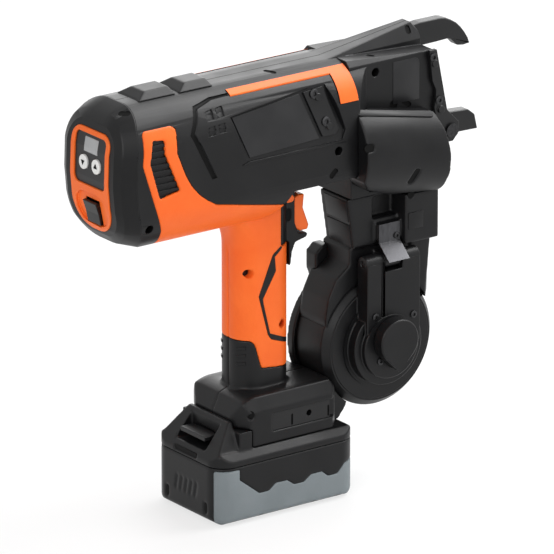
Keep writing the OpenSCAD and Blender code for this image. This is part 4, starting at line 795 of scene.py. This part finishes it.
def thin_plate(shape, outline, thickness, soft, place):
    """A flat outline in millimetres, extruded, its upper rim bevelled, then placed."""
    corners = [bmesh.ops.create_vert(shape, co=(x * MM, y * MM, -PLATE_SUNK * MM))["vert"][0]
               for x, y in outline]
    face = bmesh.ops.contextual_create(shape, geom=corners)["faces"][0]
    turned_up(shape, face)
    base, top = raised_face(shape, face, (thickness + PLATE_SUNK) * MM)
    rim = ring_edges(top)
    bevelled = bmesh.ops.bevel(shape, geom=rim + top, offset=soft * MM, offset_type="OFFSET", affect="EDGES",
                               segments=PLATE_SEGMENTS, profile=0.5, material=-1)
    verts = {v for v in base + list(bevelled["verts"]) if v.is_valid}
    bmesh.ops.transform(shape, matrix=place, verts=list(verts))


def rounded_corner(cx, cy, radius, start, stop):
    """Points of a rounded corner from one angle to another, in degrees."""
    angles = [math.radians(start + (stop - start) * i / CORNER_STEPS) for i in range(CORNER_STEPS + 1)]
    return [(cx + radius * math.cos(a), cy + radius * math.sin(a)) for a in angles]


def rectangle(half_x, half_y):
    """The corners of a rectangle."""
    return [(-half_x, -half_y), (half_x, -half_y), (half_x, half_y), (-half_x, half_y)]


def for_side(outline, side):
    """An outline as it is for the tool's right side, -1, or mirrored for its left side, 1."""
    return [(x * -side, y) for x, y in outline]


# %% Plates
COVER_LIP = [*rounded_corner(29, 0, 2.4, -90, 90), *rounded_corner(-29, 0, 2.4, 90, 270)]
COLLAR_RIB = [(-3.4, -1.6), (3.4, -0.4), (3.4, 1.6), (-3.4, 0.4)]
NOSE_PLATE = [(-11, -15), (11, -15), *rounded_corner(7, 10.5, 4, 0, 90), (-11, 14.5)]
LABEL_BAR = [(-42, -0.4), (42, -0.4), (42.5, 0.9), (41.5, 1.3), (-36, 1.3)]
NECK_REAR = (-0.99, 0, -0.15)
SIDES = (-1, 1)
PLATES = {
    # piece: (node, material, thickness, soft rim, outlines with their places), in mm
    "feeder_cover_lip": ("feeder_cover", black_moulding, 0.7, 0.35, [
        (COVER_LIP, facing((87.0, -38.3, 265.2), (0.1, -0.70, 0.71), (1, -0.05, -0.19)))]),
    "foot_collar_ribs": ("foot_shell_right", black_moulding, 0.45, 0.2, [
        (COLLAR_RIB, facing((-20.4, side * 10.9, z), (-0.85, side * 0.52, 0), (0, 1, 0)))
        for side in SIDES for z in (113.0, 107.5, 102.0)]),
    "neck_panels": ("reel_neck", black_moulding, 0.6, 0.3, [
        (rectangle(12.4, 7.6), facing((60.2, -9.4, 196.5), NECK_REAR, (0, 1, 0))),
        (rectangle(12.4, 10.0), facing((63.0, -9.4, 177.0), NECK_REAR, (0, 1, 0))),
        (rectangle(6.2, 5.8), facing((108.8, -33.0, 184.4), (0, -1, 0), (1, 0, 0)))]),
    "nose_blanks": ("body_shell_right", dark_plate, 0.35, 0.15, [
        (for_side(NOSE_PLATE, side), facing((105.5, side * 26.0, 282.0), (0, side, 0), (-side, 0, 0)))
        for side in SIDES]),
    "label_bars": ("body_shell_right", black_moulding, 0.7, 0.3, [
        (for_side(LABEL_BAR, side), facing((3.7, side * 38.0, 253.4), (0, side, 0), (-side, 0, 0)))
        for side in SIDES]),
}
for name, (node, material, thickness, soft, plates) in PLATES.items():
    shape = bmesh.new()
    for outline, place in plates:
        thin_plate(shape, outline, thickness, soft, place)
    add_piece(name, shape, material, node)
print("thin plates:", sum(len(plates) for *_, plates in PLATES.values()))

# %% [markdown]
# ## The handle's root
# Behind the hand the handle runs into the housing in a wide fillet. Rings in the handle's plan, a circle whose
# quarters are pulled apart, grow to the rear as they rise, and bridging each pair of rings makes the skin.

# %% Root fillet
ROOT_LOW, ROOT_HIGH, ROOT_GROWTH = 180.0, 206.0, 16.0
ROOT_REAR, ROOT_FRONT, ROOT_HALF, ROOT_CORNER = -22.8, 6.0, 17.3, 14.8
ROOT_RINGS = 9
ROOT_SIDES = 40
root = bmesh.new()
rings = []
for step in range(ROOT_RINGS):
    climb = step / (ROOT_RINGS - 1)
    rear = ROOT_REAR - ROOT_GROWTH * (1.0 - math.sqrt(1.0 - climb * climb))
    middle, reach = (rear + ROOT_FRONT) / 2, (ROOT_FRONT - rear) / 2
    corner = min(ROOT_CORNER, reach)
    ring = bmesh.ops.create_circle(root, segments=ROOT_SIDES, radius=corner * MM)["verts"]
    for vert in ring:
        vert.co.x += math.copysign((reach - corner) * MM, vert.co.x) + middle * MM
        vert.co.y += math.copysign((ROOT_HALF - corner) * MM, vert.co.y)
        vert.co.z = (ROOT_LOW + (ROOT_HIGH - ROOT_LOW) * climb) * MM
    rings.append(ring_edges(ring))
for lower, higher in zip(rings, rings[1:]):
    bmesh.ops.bridge_loops(root, edges=lower + higher)
bmesh.ops.holes_fill(root, edges=rings[0] + rings[-1], sides=ROOT_SIDES)
add_piece("handle_root", root, orange_grip, "handle_shell_right")
print("root rings:", ROOT_RINGS)

# %% [markdown]
# ## Arrows on the buttons
# The two panel buttons carry plain arrows, one down and one up. A three-sided circle, extruded by a tenth of
# a millimetre, is a printed arrow with real thickness.

# %% Arrows
ARROW_TURNS = {"button_down": 180.0, "button_up": 0.0}
ARROW_RADIUS, ARROW_THICK, ARROW_SUNK = 2.3, 0.12, 0.05
PANEL_TILT = (-1, 0, 0.04)
for node, turn in ARROW_TURNS.items():
    low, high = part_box(node)
    arrow = bmesh.new()
    ring = bmesh.ops.create_circle(arrow, cap_ends=True, segments=3, radius=ARROW_RADIUS * MM)["verts"]
    bmesh.ops.rotate(arrow, verts=ring, cent=(0, 0, 0), matrix=Matrix.Rotation(math.radians(turn), 3, "Z"))
    face = ring[0].link_faces[0]
    turned_up(arrow, face)
    raised_face(arrow, face, ARROW_THICK * MM)
    middle = [(low[1] + high[1]) / 2 / MM, (low[2] + high[2]) / 2 / MM]
    place = facing((low[0] / MM + ARROW_SUNK, *middle), PANEL_TILT, (0, -1, 0))
    bmesh.ops.transform(arrow, matrix=place, verts=arrow.verts)
    add_piece(node + "_arrow", arrow, shade_and_print_black, node)
print("arrows:", len(ARROW_TURNS))

# %% [markdown]
# ## Studio
# The background is white to the camera and to reflections, while the world gives the object only a mild
# light. The floor mixes white with its own shaded colour, so a soft shadow stays under the tool. A large
# overhead lamp makes the upper faces brighter than the sides, as a softbox does.

# %% Floor
FLOOR_SIZE = 8.0
FLOOR_BELOW = 0.3 * MM
floor_mesh = bpy.data.meshes.new("floor")
floor_shape = bmesh.new()
bmesh.ops.create_grid(floor_shape, x_segments=1, y_segments=1, size=FLOOR_SIZE)
bmesh.ops.translate(floor_shape, verts=floor_shape.verts, vec=(0, 0, -FLOOR_BELOW))
floor_shape.to_mesh(floor_mesh)
floor_shape.free()
floor = bpy.data.objects.new("floor", floor_mesh)
bpy.context.scene.collection.objects.link(floor)
floor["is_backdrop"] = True
print("floor half size in m:", FLOOR_SIZE)

# %% White to the eye
FLOOR_WHITE = 0.72
FLOOR_GREY, FLOOR_ROUGHNESS = (0.78, 0.78, 0.78), 0.7


def seen_directly(nodes, links):
    """1 for rays from the camera, a reflection or glass; 0 for rays that only carry light."""
    path = nodes.new("ShaderNodeLightPath")
    first = nodes.new("ShaderNodeMath")
    second = nodes.new("ShaderNodeMath")
    first.operation = second.operation = "MAXIMUM"
    links.new(path.outputs["Is Camera Ray"], first.inputs[0])
    links.new(path.outputs["Is Glossy Ray"], first.inputs[1])
    links.new(first.outputs["Value"], second.inputs[0])
    links.new(path.outputs["Is Transmission Ray"], second.inputs[1])
    return second.outputs["Value"]


floor_paint, floor_nodes, floor_links, floor_shader = finish_base(
    "floor_paint", FLOOR_GREY, FLOOR_ROUGHNESS)
floor_glow = floor_nodes.new("ShaderNodeEmission")
floor_share = floor_nodes.new("ShaderNodeMath")
floor_share.operation = "MULTIPLY"
floor_share.inputs[1].default_value = FLOOR_WHITE
floor_links.new(seen_directly(floor_nodes, floor_links), floor_share.inputs[0])
floor_mix = floor_nodes.new("ShaderNodeMixShader")
floor_links.new(floor_share.outputs["Value"], floor_mix.inputs["Fac"])
floor_links.new(floor_shader.outputs["BSDF"], floor_mix.inputs[1])
floor_links.new(floor_glow.outputs["Emission"], floor_mix.inputs[2])
floor_links.new(floor_mix.outputs["Shader"], floor_nodes["Material Output"].inputs["Surface"])
floor_mesh.materials.append(floor_paint)
print("finishes in all:", len(finishes))

# %% Lamps
LAMPS = {
    # name: (place in m, side in m, power in W)
    "overhead": ((1.0, 0.1, 1.7), 1.3, 36.0),
    "left": ((-1.6, -0.9, 1.2), 1.4, 18.0),
    "near": ((0.4, -2.0, 1.1), 1.6, 11.0),
    "front": ((1.45, -0.5, 1.45), 0.9, 18.0),
    "far": ((1.1, 1.6, 0.9), 1.4, 14.0),
}
LAMP_AIM = Vector((0, 0, 0.15))
for name, (place, side, power) in LAMPS.items():
    lamp = bpy.data.lights.new(name, "AREA")
    lamp.shape = "SQUARE"
    lamp.size = side
    lamp.energy = power
    lamp_object = bpy.data.objects.new(name, lamp)
    lamp_object.location = place
    lamp_object.rotation_mode = "QUATERNION"
    lamp_object.rotation_quaternion = (Vector(place) - LAMP_AIM).to_track_quat("Z", "Y")
    bpy.context.scene.collection.objects.link(lamp_object)
print("lamps:", len(LAMPS))

# %% World
WORLD_LIGHT = 0.3
WHITE = (1.0, 1.0, 1.0, 1.0)
world = bpy.data.worlds.new("studio")
world.use_nodes = True
world_nodes, world_links = world.node_tree.nodes, world.node_tree.links
mild = world_nodes["Background"]
mild.inputs["Color"].default_value = WHITE
mild.inputs["Strength"].default_value = WORLD_LIGHT
white = world_nodes.new("ShaderNodeBackground")
white.inputs["Color"].default_value = WHITE
white.inputs["Strength"].default_value = 1.0
world_mix = world_nodes.new("ShaderNodeMixShader")
world_links.new(seen_directly(world_nodes, world_links), world_mix.inputs["Fac"])
world_links.new(mild.outputs["Background"], world_mix.inputs[1])
world_links.new(white.outputs["Background"], world_mix.inputs[2])
world_links.new(world_mix.outputs["Shader"], world_nodes["World Output"].inputs["Surface"])
bpy.context.scene.world = world
bpy.context.scene.view_settings.view_transform = "Standard"
print("world light:", WORLD_LIGHT)

# %% [markdown]
# ## Finish
# The size of the dressed model is printed.

# %% Sizes and the end
low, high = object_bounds()
print("dressed model box in mm:", [round(v / MM, 1) for v in (*low, *high)])
